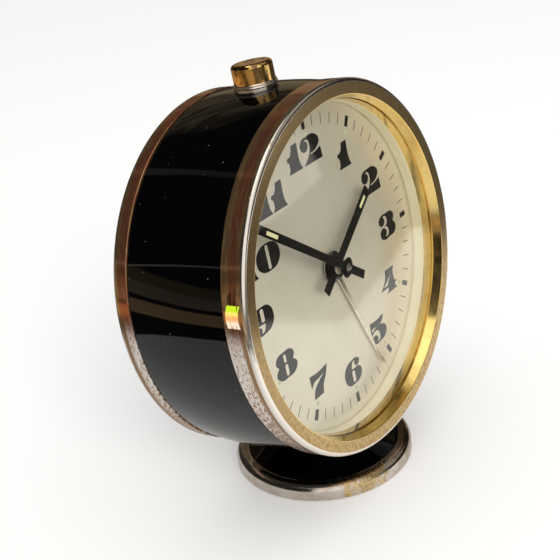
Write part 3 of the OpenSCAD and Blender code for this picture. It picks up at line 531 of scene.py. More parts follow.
def glass():
    """Thin clear glass that mirrors at a slant and hides nothing."""
    shader = Shader("glass", roughness=0.02)
    smear = shader.noise(13 * MM, 5)
    shader.set("Roughness", shader.span(smear, 0.4, 0.75, 0.005, 0.05))
    mirror = shader.node("ShaderNodeBsdfGlossy")
    shader.feed(mirror.inputs["Roughness"], shader.span(smear, 0.4, 0.75, 0.005, 0.05))
    clear = shader.node("ShaderNodeBsdfTransparent")
    shader.feed(clear.inputs["Color"], (0.985, 0.985, 0.97))
    behind = shader.node("ShaderNodeNewGeometry").outputs["Backfacing"]
    slant = shader.node("ShaderNodeFresnel")
    shader.feed(slant.inputs["IOR"], shader.span(behind, 0, 1, 1.5, 1 / 1.5))
    blend = shader.node("ShaderNodeMixShader")
    shader.feed(blend.inputs[0], slant.outputs[0])
    shader.tree.links.new(clear.outputs[0], blend.inputs[1])
    shader.tree.links.new(mirror.outputs[0], blend.inputs[2])
    out = shader.tree.nodes["Material Output"]
    shader.tree.links.new(blend.outputs[0], out.inputs["Surface"])
    return shader.material


def ink():
    """Thick black dial print, a little worn through."""
    shader = Shader("ink", roughness=0.55)
    shader.set("Specular IOR Level", 0.2)
    worn = shader.span(shader.noise(0.35 * MM, 4, 0.7), 0.62, 0.75)
    shader.set("Base Color", shader.mix(worn, (0.006, 0.006, 0.006), (0.03, 0.028, 0.022)))
    shader.bump(worn, 0.004 * MM, 0.4)
    return shader.material


def hand_paint():
    """Satin black paint on stamped steel."""
    shader = Shader("hand_paint")
    shader.set("Specular IOR Level", 0.12)
    grain = shader.noise(0.4 * MM, 4, 0.7)
    shader.set("Base Color", shader.mix(shader.span(grain, 0.55, 0.75), (0.003, 0.003, 0.003), (0.014, 0.013, 0.012)))
    shader.set("Roughness", shader.span(grain, 0.3, 0.7, 0.35, 0.5))
    shader.bump(grain, 0.01 * MM, 0.4)
    return shader.material


def lume(name, tone, dark):
    """Crumbly luminous paint."""
    shader = Shader(name, roughness=0.75)
    grain = shader.noise(0.3 * MM, 5, 0.7)
    shader.set("Base Color", shader.mix(shader.span(grain, 0.4, 0.7), tone, dark))
    shader.bump(grain, 0.05 * MM, 0.6)
    return shader.material


def felt():
    """Pressed green felt."""
    shader = Shader("felt", roughness=0.95)
    shader.set("Sheen Weight", 0.4)
    fibres = shader.noise(0.5 * MM, 6, 0.75, distortion=1.5)
    shader.set("Base Color", shader.mix(shader.span(fibres, 0.3, 0.7), (0.02, 0.055, 0.03), (0.045, 0.11, 0.06)))
    shader.bump(fibres, 0.2 * MM, 0.8)
    return shader.material


LACQUER = black_lacquer()
GOLD = polished_gold()
BUTTON_GOLD = tarnished_gold()
RIM = worn_rim("worn_rim", 0)
REAR_RIM = worn_rim("worn_rear_rim_with_painted_glint", REAR.back)
FACE = patina_face()
EDGE = bright_nickel("bright_edge", (0.90, 0.84, 0.76), (0.70, 0.55, 0.38), 0.60, 0.16)
NICKEL = bright_nickel("worn_nickel", (0.78, 0.71, 0.64), (0.50, 0.36, 0.20), 0.58, 0.14)
FOOT_NICKEL = foot_plating()
COVER = turned_metal("cover_plate", (0.62, 0.58, 0.50), (0.42, 0.36, 0.27), 0.30)
BRASS = turned_metal("movement_brass", (0.74, 0.55, 0.24), (0.50, 0.34, 0.13))
STEEL = turned_metal("machined_steel", (0.52, 0.53, 0.54), (0.30, 0.28, 0.26))
BLUED = turned_metal("blued_steel", (0.05, 0.08, 0.19), (0.03, 0.03, 0.05), 0.18)
DIAL_PLATE = satin_silver()
CREAM = cream()
GLASS = glass()
INK = ink()
PAINT = hand_paint()
PALE_LUME = lume("pale_lume", (0.80, 0.76, 0.42), (0.62, 0.60, 0.36))
GREEN_LUME = lume("green_lume", (0.48, 0.55, 0.33), (0.56, 0.55, 0.42))
ALARM_GOLD = polished_gold("alarm_gold", (0.82, 0.75, 0.63), 0.14)
FELT = felt()

# ---------- case ----------


def case_band():
    """Black band, slightly barrelled."""
    ends = BEZEL_BACK, REAR_FRONT
    bulge = BAND.outer - BAND_END
    wall = 0.8 * MM
    steps = 24
    outside = []
    for k in range(steps + 1):
        u = 2 * k / steps - 1
        outside.append((BAND_END + bulge * (1 - u * u), ends[0] + (ends[1] - ends[0]) * k / steps))
    inside = [(radius - wall, depth) for radius, depth in reversed(outside)]
    piece = turned("band_shell", outside + inside, [LACQUER], steps=360)
    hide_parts("case_band")


BEZEL_BACK = BAND.front
REAR_FRONT = BAND.back
BAND_END = RIM_R - 0.4 * MM


def front_bezel():
    """Plated front rim: side, rounded bright edge, flat face and polished flared inner wall."""
    opening = RIM_R - 4.4 * MM
    lip = RIM_R - 5.2 * MM
    round_r = 1.15 * MM
    small = 0.25 * MM
    hidden, bright, plated, gilt, face = range(5)
    section, zones = joined([
        ([(RIM_R - 2.2 * MM, BEZEL.back), (BAND_END - 0.9 * MM, BEZEL.back), (BAND_END - 0.9 * MM, BEZEL_BACK)],
         hidden, plated),
        (arc((RIM_R - small, BEZEL_BACK - small), small, 90, 0, 3), face, plated),
        (arc((RIM_R - round_r, round_r), round_r, 0, -90, 10), bright, face),
        (arc((opening + small, small), small, -90, -180, 4), gilt, gilt),
        ([(lip, CRYSTAL_EDGE), (RIM_R - 4.6 * MM, CRYSTAL_EDGE), (RIM_R - 4.6 * MM, DIAL.front),
          (RIM_R - 2.6 * MM, DIAL.front)], hidden, hidden)])
    piece = turned("bezel_shell", section, [GOLD, EDGE, RIM, GOLD, FACE], zones=zones, steps=360)
    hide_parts("front_bezel")


CRYSTAL_EDGE = 2.6 * MM


def rear_rim():
    """Plated rear rim with a rounded edge, and the ledge that the cover screws to."""
    round_r = 1.15 * MM
    small = 0.25 * MM
    seat_r = COVER_R + 0.2 * MM
    ledge = 1.2 * MM
    hidden, bright, plated, face = range(4)
    section, zones = joined([
        ([(RIM_R - 1.3 * MM, REAR.front), (RIM_R - 1.3 * MM, REAR_FRONT)], hidden, plated),
        (arc((RIM_R - small, REAR_FRONT + small), small, -90, 0, 3), plated, plated),
        (arc((RIM_R - round_r, REAR.back - round_r), round_r, 0, 90, 10), bright, face),
        ([(seat_r, REAR.back), (seat_r, COVER_FRONT), (seat_r - 2.8 * MM, COVER_FRONT),
          (seat_r - 2.8 * MM, COVER_FRONT - ledge), (seat_r, COVER_FRONT - ledge), (seat_r, REAR.front)],
         hidden, hidden)])
    piece = turned("rear_rim_shell", section, [GOLD, EDGE, REAR_RIM, FACE], zones=zones, steps=360)
    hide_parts("rear_rim")


COVER_R = Extent("rear_cover").outer
COVER_FRONT = Extent("rear_cover").front


def foot():
    """Black disc with a rounded plated rim on a short pillar."""
    low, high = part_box("foot_rim")
    outer, bottom, top = high.x, low.z, high.z
    disc_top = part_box("foot_disc")[1].z
    disc_r = outer - 3.8 * MM
    round_r = 2.1 * MM
    skirt = 1.0 * MM
    rim = [(outer - skirt, bottom), (outer - 0.2 * MM, bottom), (outer, bottom + 0.2 * MM)]
    rim += arc((outer - round_r, top - round_r), round_r, 0, 90, 12)
    rim += arc((disc_r + 0.5 * MM, top - 0.5 * MM), 0.5 * MM, 90, 180, 5)
    rim += [(disc_r, bottom + 1.7 * MM), (outer - skirt, bottom + 1.7 * MM)]
    piece = turned("foot_rim_shell", rim, [FOOT_NICKEL], place=FOOT, steps=288)
    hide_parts("foot_rim")
    disc = [(0, disc_top + 0.05 * MM)]
    disc += [(disc_r - 0.9 * MM, disc_top + 0.05 * MM)]
    disc += arc((disc_r - 0.55 * MM, disc_top - 0.4 * MM), 0.45 * MM, 90, 0, 5)
    disc += [(disc_r - 0.1 * MM, bottom + 1.8 * MM), (outer - skirt - 0.1 * MM, bottom + 1.6 * MM),
             (outer - skirt - 0.1 * MM, bottom + 0.1 * MM), (outer - 2 * MM, bottom + 0.1 * MM),
             (outer - 2 * MM, bottom + 0.5 * MM), (0, bottom + 0.5 * MM)]
    piece = turned("foot_disc_shell", disc, [LACQUER], place=FOOT, steps=288, closed=False)
    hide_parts("foot_disc")


class Button:
    """The stop button's own frame, its y axis up out of the band, with its height and radii."""

    def __init__(self):
        cap = [along(v.co, DRUM_ORIGIN) for v in frame["nodes"]["button_cap"].data.vertices]
        collar = [along(v.co, DRUM_ORIGIN) for v in frame["nodes"]["button_collar"].data.vertices]
        depths = [p.y for p in cap]
        self.radius = (max(depths) - min(depths)) / 2
        self.top = max(p.z for p in cap)
        self.base = BAND.outer - 1.4 * MM
        self.flange_r = max(p.x for p in collar)
        self.collar_top = max(p.z for p in collar)
        turn = Matrix((RIGHT, UP, -AXIS)).transposed().to_4x4()
        self.place = Matrix.Translation(DRUM @ Vector((0, (max(depths) + min(depths)) / 2, 0))) @ turn


def stop_button():
    """Gilt cap with a rounded top, on a plated collar of two stepped rings."""
    button = Button()
    round_r = 1.1 * MM
    wall = 0.8 * MM
    ceiling = button.base + 2.5 * MM
    dish = 0.12 * MM
    cap = [(0, button.top - dish), (button.radius * 0.6, button.top - dish * 0.4)]
    cap += arc((button.radius - round_r, button.top - round_r), round_r, 90, 0, 10)
    cap += [(button.radius, button.base), (button.radius - wall, button.base), (button.radius - wall, ceiling),
            (0, ceiling)]
    piece = turned("button_shell", cap, [BUTTON_GOLD], "stop_button", place=button.place, steps=160,
                   closed=False)
    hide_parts("button_cap")

    bore = button.radius + 0.06 * MM
    bead = 0.3 * MM
    tube_r = button.flange_r - 0.2 * MM
    middle = button.collar_top - 2 * bead
    collar = [(bore, BAND.outer - 0.8 * MM), (tube_r - 0.05 * MM, BAND.outer - 0.8 * MM),
              (tube_r - 0.05 * MM, middle - 2 * bead)]
    collar += arc((button.flange_r - bead, middle - bead), bead, -90, 80, 7)
    collar += arc((tube_r - bead, button.collar_top - bead), bead, -60, 90, 7)
    collar += [(bore, button.collar_top)]
    piece = turned("collar_shell", collar, [EDGE], place=button.place, steps=160)
    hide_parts("button_collar")


# ---------- glass and dial ----------


def crystal():
    """Domed glass held behind the lip of the rim."""
    rim_r = CRYSTAL.outer
    dome_r = RIM_R - 5.3 * MM
    rise = CRYSTAL_EDGE - CRYSTAL.front
    thick = CRYSTAL.back - CRYSTAL_EDGE
    steps = 20
    shape = [(dome_r * k / steps, CRYSTAL_EDGE - rise * (1 - (k / steps) ** 2)) for k in range(steps + 1)]
    back = [(radius, depth + thick) for radius, depth in reversed(shape)]
    section = shape + [(rim_r, CRYSTAL_EDGE), (rim_r, CRYSTAL_EDGE + thick)] + back
    piece = turned("crystal_dome", section, [GLASS], closed=False, steps=192)
    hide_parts("crystal")


CREAM_FRONT = SPACER.front + 0.6 * MM


def glass_ring():
    section = [(RIM_R - 5.3 * MM, GLASS_RING.front), (RIM_R - 4.7 * MM, GLASS_RING.front),
               (RIM_R - 4.7 * MM, CREAM_FRONT), (RIM_R - 5.6 * MM, CREAM_FRONT)]
    piece = turned("glass_ring_shell", section, [GOLD])
    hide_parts("crystal_ring")


def spacer_ring():
    """Cream ring; a dark gap is left where it meets the dial."""
    inner = RIM_R - 5.7 * MM
    foot = DIAL.front - 0.45 * MM
    section = arc((inner + 0.25 * MM, CREAM_FRONT + 0.25 * MM), 0.25 * MM, 180, 270, 4)
    section += [(RIM_R - 4.7 * MM, CREAM_FRONT), (RIM_R - 4.7 * MM, DIAL.front), (inner + 0.35 * MM, DIAL.front),
                (inner + 0.35 * MM, foot)]
    section += arc((inner + 0.1 * MM, foot - 0.1 * MM), 0.1 * MM, 90, 180, 3)
    piece = turned("spacer_shell", section, [CREAM])
    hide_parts("dial_spacer_ring")


def dial_plate():
    section = [(3.1 * MM, DIAL.front), (DIAL.outer, DIAL.front), (DIAL.outer, DIAL.back), (3.1 * MM, DIAL.back)]
    piece = turned("dial_shell", section, [DIAL_PLATE])
    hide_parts("dial_plate")


# Outlines of the dial's numbers in millimetres from their lower left corner.
# "c" is a corner and "s" is a smooth point.
DIGITS = {
    "0": [[(5, 7.2, "s"), (9, 6, "s"), (10, 3.6, "s"), (9, 1.2, "s"), (5, 0, "s"), (1, 1.2, "s"), (0, 3.6, "s"),
           (1, 6, "s")],
          [(4.4, 0.7, "c"), (4.4, 6.5, "c"), (4.9, 6.8, "s"), (5.6, 6.5, "c"), (5.6, 0.7, "c"), (5.0, 0.4, "s")]],
    "1": [[(0, 0, "c"), (0.8, 1.2, "s"), (0.8, 3.1, "c"), (0.2, 3.4, "s"), (0.1, 4, "s"), (0.6, 4.4, "s"),
           (1.4, 4.4, "c"), (2.3, 5.4, "s"), (2.8, 7, "c"), (5.4, 7.2, "c"), (5.6, 1.4, "s"), (6.4, 0, "c")]],
    "2": [[(0.5, 0, "c"), (3.1, 2.1, "s"), (3.9, 3.2, "s"), (4.3, 4.9, "s"), (3.6, 6.4, "s"), (2.1, 6.3, "c"),
           (3.2, 5.9, "s"), (3.4, 4.6, "s"), (1.9, 3.5, "s"), (0.1, 4.6, "s"), (0.6, 6.5, "s"), (3.6, 7.3, "s"),
           (7.4, 6.9, "s"), (8.9, 5.1, "s"), (7.4, 3.3, "s"), (4.1, 2.5, "c"), (4.3, 2.2, "c"), (6.6, 2.5, "s"),
           (9, 3.2, "c"), (9.2, 0, "c")]],
    "3": [[(4.9, 7.2, "s"), (7.7, 6.8, "s"), (8.6, 5.4, "s"), (7.7, 3.9, "c"), (8.8, 2.4, "s"), (8.1, 0.6, "s"),
           (4.9, 0, "s"), (1.1, 0.2, "s"), (0, 1.8, "s"), (1.3, 3.4, "s"), (3.1, 2.9, "s"), (3.5, 1.6, "s"),
           (2.6, 0.7, "c"), (4.2, 0.8, "s"), (4.7, 2.2, "s"), (4, 3.4, "s"), (2.3, 3.7, "c"), (4.1, 4.1, "s"),
           (4.6, 5.3, "s"), (4, 6.5, "s"), (2.5, 6.7, "c"), (3.2, 5.9, "s"), (2.9, 4.6, "s"), (1.3, 4.2, "s"),
           (0.1, 5.4, "s"), (1.1, 6.9, "s")]],
    "4": [[(0, 1.7, "c"), (2.9, 4.2, "s"), (3.8, 7, "c"), (8.7, 7, "c"), (7.9, 5.2, "s"), (8, 2.4, "c"),
           (8.9, 2.4, "c"), (8.9, 1.7, "c"), (8.1, 1.7, "c"), (8.2, 0.9, "s"), (8.9, 0, "c"), (3.3, 0, "c"),
           (4.1, 0.8, "s"), (4.2, 1.7, "c")],
          [(1.8, 2.4, "c"), (4.3, 2.4, "c"), (4.3, 2.9, "c"), (6.6, 5.1, "c")]],
    "5": [[(0.2, 7, "c"), (3.6, 6.7, "s"), (7.9, 7.1, "c"), (6.6, 5.3, "s"), (0.9, 5, "c"), (0.7, 4.1, "c"),
           (3, 4.7, "s"), (6.2, 4.6, "s"), (8.5, 2.7, "s"), (7.4, 0.7, "s"), (4.4, 0, "s"), (1.1, 0.2, "s"),
           (0.2, 1.4, "s"), (1.2, 2.6, "s"), (2.9, 2.3, "s"), (3.3, 1.2, "s"), (2.6, 0.6, "c"), (4, 0.7, "s"),
           (4.6, 2.2, "s"), (3.6, 3.7, "s"), (1.5, 3.7, "s"), (0.2, 3, "c")]],
    "6": [[(4.7, 7.1, "s"), (7.3, 6.9, "s"), (8.3, 5.9, "s"), (7.4, 4.8, "s"), (6, 5, "s"), (5.7, 6, "s"),
           (6.1, 6.6, "c"), (4.8, 6.3, "s"), (3.9, 4.6, "c"), (5.2, 4.4, "s"), (7.6, 4.2, "s"), (8.7, 2.5, "s"),
           (7.6, 0.7, "s"), (4.5, 0, "s"), (1.2, 0.8, "s"), (0, 3.5, "s"), (1.3, 6.1, "s")],
          [(3.8, 0.8, "c"), (3.8, 3.8, "c"), (4.5, 4, "s"), (5.2, 3.7, "c"), (5.2, 0.8, "c"), (4.5, 0.5, "s")]],
    "7": [[(0, 7, "c"), (4.2, 6.6, "s"), (8.7, 7, "c"), (7.3, 4.3, "s"), (5.5, 2.2, "s"), (4.9, 0, "c"),
           (0.3, 0, "c"), (1.4, 2.5, "s"), (3.7, 4, "s"), (6.9, 5.4, "c"), (4.1, 4.9, "s"), (1.6, 4.6, "s"),
           (0.1, 3.3, "c")]],
    "8": [[(4.5, 7.2, "s"), (7.6, 6.8, "s"), (8.6, 5.3, "s"), (7.8, 3.9, "c"), (9.2, 2.4, "s"), (8.2, 0.6, "s"),
           (4.6, 0, "s"), (1, 0.6, "s"), (0, 2.4, "s"), (1.4, 3.9, "c"), (0.5, 5.3, "s"), (1.4, 6.8, "s")],
          [(4, 4.4, "c"), (4, 6.3, "c"), (4.5, 6.5, "s"), (5, 6.3, "c"), (5, 4.4, "c"), (4.5, 4.2, "s")],
          [(4, 0.8, "c"), (4, 3.4, "c"), (4.6, 3.7, "s"), (5.2, 3.4, "c"), (5.2, 0.8, "c"), (4.6, 0.5, "s")]],
}
DIGITS["9"] = [[(8.8 - x, 7.1 - z, kind) for x, z, kind in outline] for outline in DIGITS["6"]]
DIGIT_WIDTHS = {"0": 10, "1": 6.4, "2": 9.2, "3": 8.8, "4": 8.9, "5": 8.5, "6": 8.7, "7": 8.7, "8": 9.2, "9": 8.8}
# Middle of each number on the dial: hour, right, up
NUMBER_PLACES = [(1, 15.7, 26.5), (2, 26.6, 15.2), (3, 30.9, 0), (4, 25.8, -15.6), (5, 16.4, -26.8), (6, 0, -32.2),
                 (7, -15.4, -27), (8, -27.7, -15.5), (9, -32.5, -0.6), (10, -28.6, 13.4), (11, -19.4, 26.3),
                 (12, -1.9, 32.8)]
PRINT_THICK = 0.02 * MM


def numbers():
    """The twelve hours in fat-faced figures, upright."""
    outlines = []
    gap = 0.2
    for hour, right, up in NUMBER_PLACES:
        digits = str(hour)
        width = sum(DIGIT_WIDTHS[d] for d in digits) + gap * (len(digits) - 1)
        left = right - width / 2
        for digit in digits:
            for outline in DIGITS[digit]:
                outlines.append([((left + x) * MM, (up - 3.55 + z) * MM, kind) for x, z, kind in outline])
            left += DIGIT_WIDTHS[digit] + gap
    flat_piece("dial_numbers", outlines, DIAL.front - PRINT_THICK, PRINT_THICK, [INK], "case")


def minute_marks():
    """Sixty marks: a wide bar every five minutes and a thin line between."""
    outlines = []
    for minute in range(60):
        width = 1.5 * MM if minute % 5 == 0 else 0.25 * MM
        outlines.append(turned_outline(bar_outline(width, 38.5 * MM, 41.5 * MM), minute * 6))
    flat_piece("minute_marks", outlines, DIAL.front - PRINT_THICK, PRINT_THICK, [INK], "case")


def lume_dots():
    """A faded luminous dot inside each wide bar."""
    outlines = []
    for hour in range(12):
        dot = ring_outline(0.55 * MM, (0, 36.9 * MM))
        outlines.append(turned_outline(dot, hour * 30))
    flat_piece("lume_dots", outlines, DIAL.front - 2 * PRINT_THICK, 2 * PRINT_THICK, [GREEN_LUME], "case")


# ---------- hands ----------


def hand_angle(node):
    """The clock angle a CAD hand points to at rest: that of its furthest point from the axis."""
    points = [along(v.co, DRUM_ORIGIN) for v in frame["nodes"][node].data.vertices]
    tip = max(points, key=lambda p: math.hypot(p.x, p.z))
    middle = [p for p in points if math.hypot(p.x, p.z) > 0.97 * math.hypot(tip.x, tip.z)]
    return math.degrees(math.atan2(sum(p.x for p in middle), sum(p.z for p in middle)))


def baton_hand(name, node, body, extent, length, tail, widths, eye, bore, lume_from, lume_to, lume_w):
    """A painted baton hand with a slot of luminous paint near its tip."""
    angle = hand_angle(node)
    root_w, tip_w, tail_w = widths
    outline = [(-tail_w / 2, -tail, "c"), (-tail_w / 2, -eye * 0.72, "c")]
    outline += [(-eye, 0, "s"), (-root_w / 2, eye * 0.9, "c"), (-tip_w / 2, length, "c"), (tip_w / 2, length, "c"),
                (root_w / 2, eye * 0.9, "c"), (eye, 0, "s"), (tail_w / 2, -eye * 0.72, "c"), (tail_w / 2, -tail, "c")]
    slot = bar_outline(lume_w, lume_from, lume_to)
    hole = ring_outline(bore)
    thick = 0.4 * MM
    shapes = [turned_outline(shape, angle) for shape in (outline, slot, hole)]
    piece = flat_piece(name, shapes, extent.front, thick, [PAINT], body, bevel=0.09 * MM)
    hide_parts(node)
    fill = turned_outline(bar_outline(lume_w + 0.1 * MM, lume_from - 0.05 * MM, lume_to + 0.05 * MM), angle)
    flat_piece(name + "_lume", [fill], extent.front + 0.1 * MM, 0.25 * MM, [PALE_LUME], body,
               bevel=0.04 * MM)


def hands():
    baton_hand("minute_hand_blade", "minute_hand", "hand_setting", MINUTE, 40.6 * MM, 8.4 * MM,
               (2.1 * MM, 2.4 * MM, 2.4 * MM), 2.8 * MM, 1.25 * MM, 32.7 * MM, 37.6 * MM, 1.0 * MM)
    baton_hand("hour_hand_blade", "hour_hand", "hour_hand", HOUR_BLADE, 26 * MM, 8.4 * MM,
               (2.6 * MM, 3.1 * MM, 2.8 * MM), 3.7 * MM, 1.9 * MM, 19.5 * MM, 23.5 * MM, 1.1 * MM)
    alarm_hand()
    hubs()


class HOUR_BLADE:
    front = HOUR.front + 0.4 * MM


def alarm_hand():
    """A thin polished strip on a steel eye."""
    angle = hand_angle("alarm_hand")
    length = 39 * MM
    root = 0.85 * MM
    tip = 0.45 * MM
    blade = [(-root, 3.9 * MM, "c"), (-tip, length, "c"), (tip, length, "c"), (root, 3.9 * MM, "c")]
    shapes = [turned_outline(blade, angle)]
    piece = flat_piece("alarm_hand_blade", shapes, ALARM.front, 0.35 * MM, [ALARM_GOLD],
                       "alarm_hand", bevel=0.12 * MM)
    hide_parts("alarm_hand")
    eye = [ring_outline(4.4 * MM), ring_outline(2.6 * MM)]
    flat_piece("alarm_hand_eye", eye, ALARM.front, 0.35 * MM, [STEEL], "alarm_hand",
               bevel=0.1 * MM)


def hubs():
    """Collets of the hands and the pin at the centre."""
    depth = MINUTE.front
    ring = [(1.3 * MM, depth - 0.25 * MM)] + arc((1.75 * MM, depth - 0.05 * MM), 0.2 * MM, -90, 0, 4)
    ring += [(1.95 * MM, MINUTE.back), (1.3 * MM, MINUTE.back)]
    turned("minute_collet", ring, [PAINT], "hand_setting", steps=96)
    pin_front = Extent("hand_arbor").front
    pin = [(0, pin_front - 0.35 * MM)] + arc((0.5 * MM, pin_front - 0.1 * MM), 0.25 * MM, -90, 0, 4)
    pin += [(0.75 * MM, depth + 1 * MM), (0, depth + 1 * MM)]
    turned("centre_pin", pin, [STEEL], "hand_setting", steps=64, closed=False)
    collet = [(1.92 * MM, HOUR.front)] + arc((2.45 * MM, HOUR.front + 0.2 * MM), 0.2 * MM, -90, 0, 4)
    collet += [(2.65 * MM, HOUR.back), (1.92 * MM, HOUR.back)]
    turned("hour_collet", collet, [PAINT], "hour_hand", steps=96)
    bush = [(1.4 * MM, HOUR.front - 0.1 * MM)] + arc((1.7 * MM, HOUR.front + 0.1 * MM), 0.2 * MM, -90, 0, 4)
    bush += [(1.9 * MM, HOUR.back), (1.4 * MM, HOUR.back)]
    turned("hour_bush", bush, [NICKEL], "hour_hand", steps=96)


# ---------- carried-over CAD nodes ----------


def dress(materials, bevel, *nodes):
    """Gives CAD nodes a material and slightly rounded edges."""
    for name in nodes:
        node = frame["nodes"][name]
        node.data.materials.clear()
        node.data.materials.append(materials)
        if bevel:
            weld = node.modifiers.new("Weld", "WELD")
            weld.merge_threshold = 1e-6
            rounded = node.modifiers.new("Rounded", "BEVEL")
            rounded.width = bevel
            rounded.segments = 2
            rounded.limit_method = "ANGLE"
            rounded.angle_limit = math.radians(40)
            rounded.harden_normals = True


def carried_over():
    dress(GOLD, 0.12 * MM, "hand_set_knob", "alarm_set_knob", "time_key", "alarm_key")
    dress(COVER, 0.08 * MM, "rear_cover")
    dress(STEEL, 0.06 * MM, "cover_screws")
    dress(LACQUER, 0, "foot_neck")
    dress(FELT, 0, "foot_pad")
    dress(NICKEL, 0, "bell", "cannon_pinion")
    dress(STEEL, 0, "foot_bolt", "foot_nut", "button_bracket", "button_spring", "stop_lever", "pillar_nuts",
          "movement_ring", "hand_arbor", "alarm_set_arbor", "time_winding_arbor", "alarm_winding_arbor",
          "pallet_lever", "hammer", "bell_screws")
    dress(BLUED, 0, "time_mainspring", "alarm_mainspring", "hairspring", "time_click", "alarm_click")
    dress(BRASS, 0, "front_plate", "back_plate", "plate_pillars", "minute_wheel", "hour_wheel",
          "alarm_wheel", "time_great_wheel", "centre_wheel", "third_wheel", "fourth_wheel", "escape_wheel",
          "balance_wheel", "regulator", "alarm_great_wheel", "alarm_second_wheel", "alarm_escape_wheel",
          "bell_posts")


# ---------- stage ----------

def floor():
    """Plain pale floor.  Mirrors see it as a pale sheet with rounded corners on a brown table, with painted light and
    shade on them.
    """
    half = 6.0
    mesh = bpy.data.meshes.new("floor")
    mesh.from_pydata([(-half, -half, 0), (half, -half, 0), (half, half, 0), (-half, half, 0)], [], [(0, 1, 2, 3)])
    piece = bpy.data.objects.new("floor", mesh)
    bpy.context.scene.collection.objects.link(piece)
    shader = Shader("floor_paper", roughness=0.9)
    shader.set("Specular IOR Level", 0.1)
    x, y = shader.coordinate(0), shader.coordinate(1)
    away = shader.length(shader.place)
    right_front = shader.math("SUBTRACT", x, y)
    paper = shader.mix(shader.noise(0.6), (0.95, 0.95, 0.945), (0.93, 0.93, 0.925))

    middle, reach, corner = (0.01, -0.03, 0), (0.115, 0.07, 0), 0.09
    offset = shader.vector("ABSOLUTE", shader.vector("SUBTRACT", shader.place, middle))
    past = shader.length(shader.vector("MAXIMUM", shader.vector("SUBTRACT", offset, reach), (0, 0, 0)))
    off_sheet = shader.span(past, corner - 0.002, corner + 0.004)
    # Painted shade: a dark corner where the table shows instead of the sheet.
    shade = shader.both(shader.span(x, 0.085, 0.1), shader.span(y, -0.112, -0.1, 1, 0))
    # Painted light: the sheet is lighter towards the front right and darker to the back left.
    sheet = shader.mix(shader.span(right_front, -0.22, 0.16), (0.48, 0.48, 0.48), (1.0, 0.99, 0.97))

    near_wood = shader.within(away, 0.31, 0.50, 0.02)
    far_wood = shader.within(away, 0.70, 8, 0.05)
    table = shader.mix(near_wood, (0.008, 0.006, 0.005), (0.52, 0.33, 0.16))
    table = shader.mix(far_wood, table, (0.25, 0.19, 0.12))
    table = shader.mix(shader.span(right_front, -0.35, 0), table, (0.06, 0.05, 0.04))
    direction = shader.math("ARCTAN2", x, y)
    # Painted pool of window light on the table.
    lit = shader.both(shader.within(direction, 2.29, 2.8, 0.02), shader.span(y, -0.45, -0.42, 1, 0))
    table = shader.mix(lit, table, (0.95, 0.93, 0.9))
    mirrored = shader.mix(shader.math("MAXIMUM", off_sheet, shade), sheet, table)
    shader.set("Base Color", shader.mix(shader.seen_in_mirror(), paper, mirrored))
    faded = shader.span(away, 2.0, 5.6, 1, 0)
    shader.set("Alpha", shader.math("MAXIMUM", faded, shader.seen_in_mirror()))
    mesh.materials.append(shader.material)


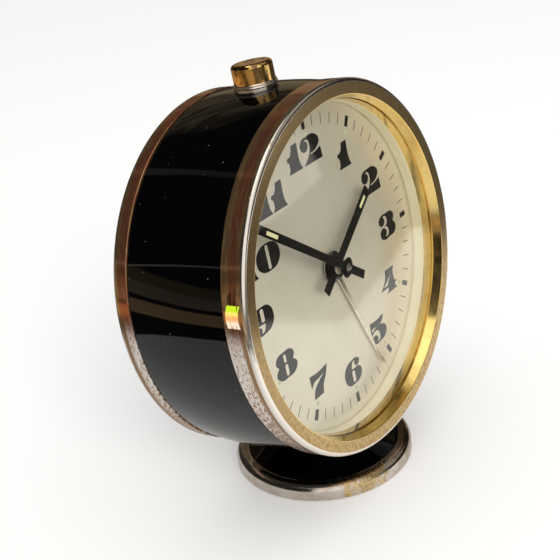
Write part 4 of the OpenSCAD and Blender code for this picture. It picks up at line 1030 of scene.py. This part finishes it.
def studio():
    """Soft even light.  Mirrors see a dim room with a window behind the camera."""
    scene = bpy.context.scene
    world = bpy.data.worlds.new("studio")
    scene.world = world
    world.use_nodes = True
    nodes = Nodes(world.node_tree, "Generated")
    height = nodes.coordinate(2)
    direction = nodes.math("ARCTAN2", nodes.coordinate(0), nodes.coordinate(1))
    streaks = nodes.span(nodes.noise(0.06, 4, 0.6, nodes.stretched((0.3, 0.3, 1))), 0.4, 0.65)
    patches = [
        # direction from, to, height from, to, soft edge, colour
        (-3.2, -1.9, 0.0, 0.93, 0.1, (0.95, 0.91, 0.86)),
        (-2.0, -1.1, 0.84, 0.97, 0.03, (1.3, 1.27, 1.15)),
        (-3.3, 0.0, 0.93, 1.2, 0.02, (1.5, 1.45, 1.35)),
        (-0.1, 3.3, 0.96, 1.2, 0.02, (1.2, 1.17, 1.1)),
        (2.85, 3.3, 0.75, 1.2, 0.05, (1.4, 1.37, 1.3)),
        (1.8, 3.2, 0.5, 0.95, 0.1, (0.28, 0.25, 0.21)),
        (-1.3, -0.4, -0.1, 0.07, 0.02, (0.14, 0.11, 0.06)),
        (0.84, 1.5, 0.03, 0.3, 0.05, (0.30, 0.22, 0.13)),
    ]
    tubes = [
        # axis, offset along it, half width, colour
        ((0.73, 0.10, 0.68), 0.435, 0.015, (0.11, 0.11, 0.105)),
        ((-0.51, 0, -0.86), 0.191, 0.004, (0.5, 0.47, 0.42)),
    ]
    room = nodes.mix(streaks, (0.006, 0.006, 0.006), (0.010, 0.009, 0.007))
    wood = nodes.both(nodes.within(direction, 0.5, 1.1, 0.15), nodes.within(height, 0.05, 0.6, 0.1))
    room = nodes.mix(nodes.both(wood, nodes.span(streaks, 0, 1, 0.3, 1)), room, (0.16, 0.125, 0.08))
    for left, right, low, high, soft, colour in patches:
        share = nodes.both(nodes.within(direction, left, right, soft), nodes.within(height, low, high, soft))
        room = nodes.mix(share, room, colour)
    for axis, offset, half, colour in tubes:
        across = nodes.dot(nodes.place, axis)
        share = nodes.both(nodes.within(across, offset - half, offset + half, half),
                           nodes.within(nodes.coordinate(1), 0.42, 0.9, 0.1))
        room = nodes.mix(share, room, colour)
    background = world.node_tree.nodes["Background"]
    nodes.feed(background.inputs["Color"], nodes.mix(nodes.seen_in_mirror(), (0.93, 0.93, 0.93), room))
    scene.view_settings.view_transform = "Standard"
    area_light("window", (-0.75, -1.0, 0.85), (0, 0, 0.06), (0.7, 0.7), 10.0, (1, 0.97, 0.93)).visible_glossy = False


def area_light(name, at, aim, size, power, colour=(1, 1, 1)):
    data = bpy.data.lights.new(name, "AREA")
    data.shape = "RECTANGLE"
    data.size, data.size_y = size
    data.energy = power
    data.color = colour
    lamp_or_painted_glint = bpy.data.objects.new(name, data)
    bpy.context.scene.collection.objects.link(lamp_or_painted_glint)
    lamp_or_painted_glint.location = at
    lamp_or_painted_glint.rotation_euler = (Vector(aim) - Vector(at)).to_track_quat("-Z", "Y").to_euler()
    return lamp_or_painted_glint


def camera():
    """Front left, a little above, leaning as the photographer held it."""
    azimuth, elevation, roll = math.radians(52.77), math.radians(24.29), math.radians(7.3)
    target = Vector((0, 0.17 * RIM_R, 1.09 * RIM_R))
    distance = 6.052 * RIM_R
    forward = Vector((math.sin(azimuth) * math.cos(elevation), math.cos(azimuth) * math.cos(elevation),
                      -math.sin(elevation)))
    data = bpy.data.cameras.new("camera")
    data.sensor_width = 36
    data.lens = 68.98
    viewer = bpy.data.objects.new("camera", data)
    bpy.context.scene.collection.objects.link(viewer)
    viewer.location = target - forward * distance
    turn = forward.to_track_quat("-Z", "Y").to_matrix() @ Matrix.Rotation(-roll, 3, "Z")
    viewer.rotation_euler = turn.to_euler()
    data.clip_start = 0.01
    bpy.context.scene.camera = viewer


case_band()
front_bezel()
rear_rim()
foot()
stop_button()
crystal()
glass_ring()
spacer_ring()
dial_plate()
numbers()
minute_marks()
lume_dots()
hands()
carried_over()
floor()
studio()
camera()
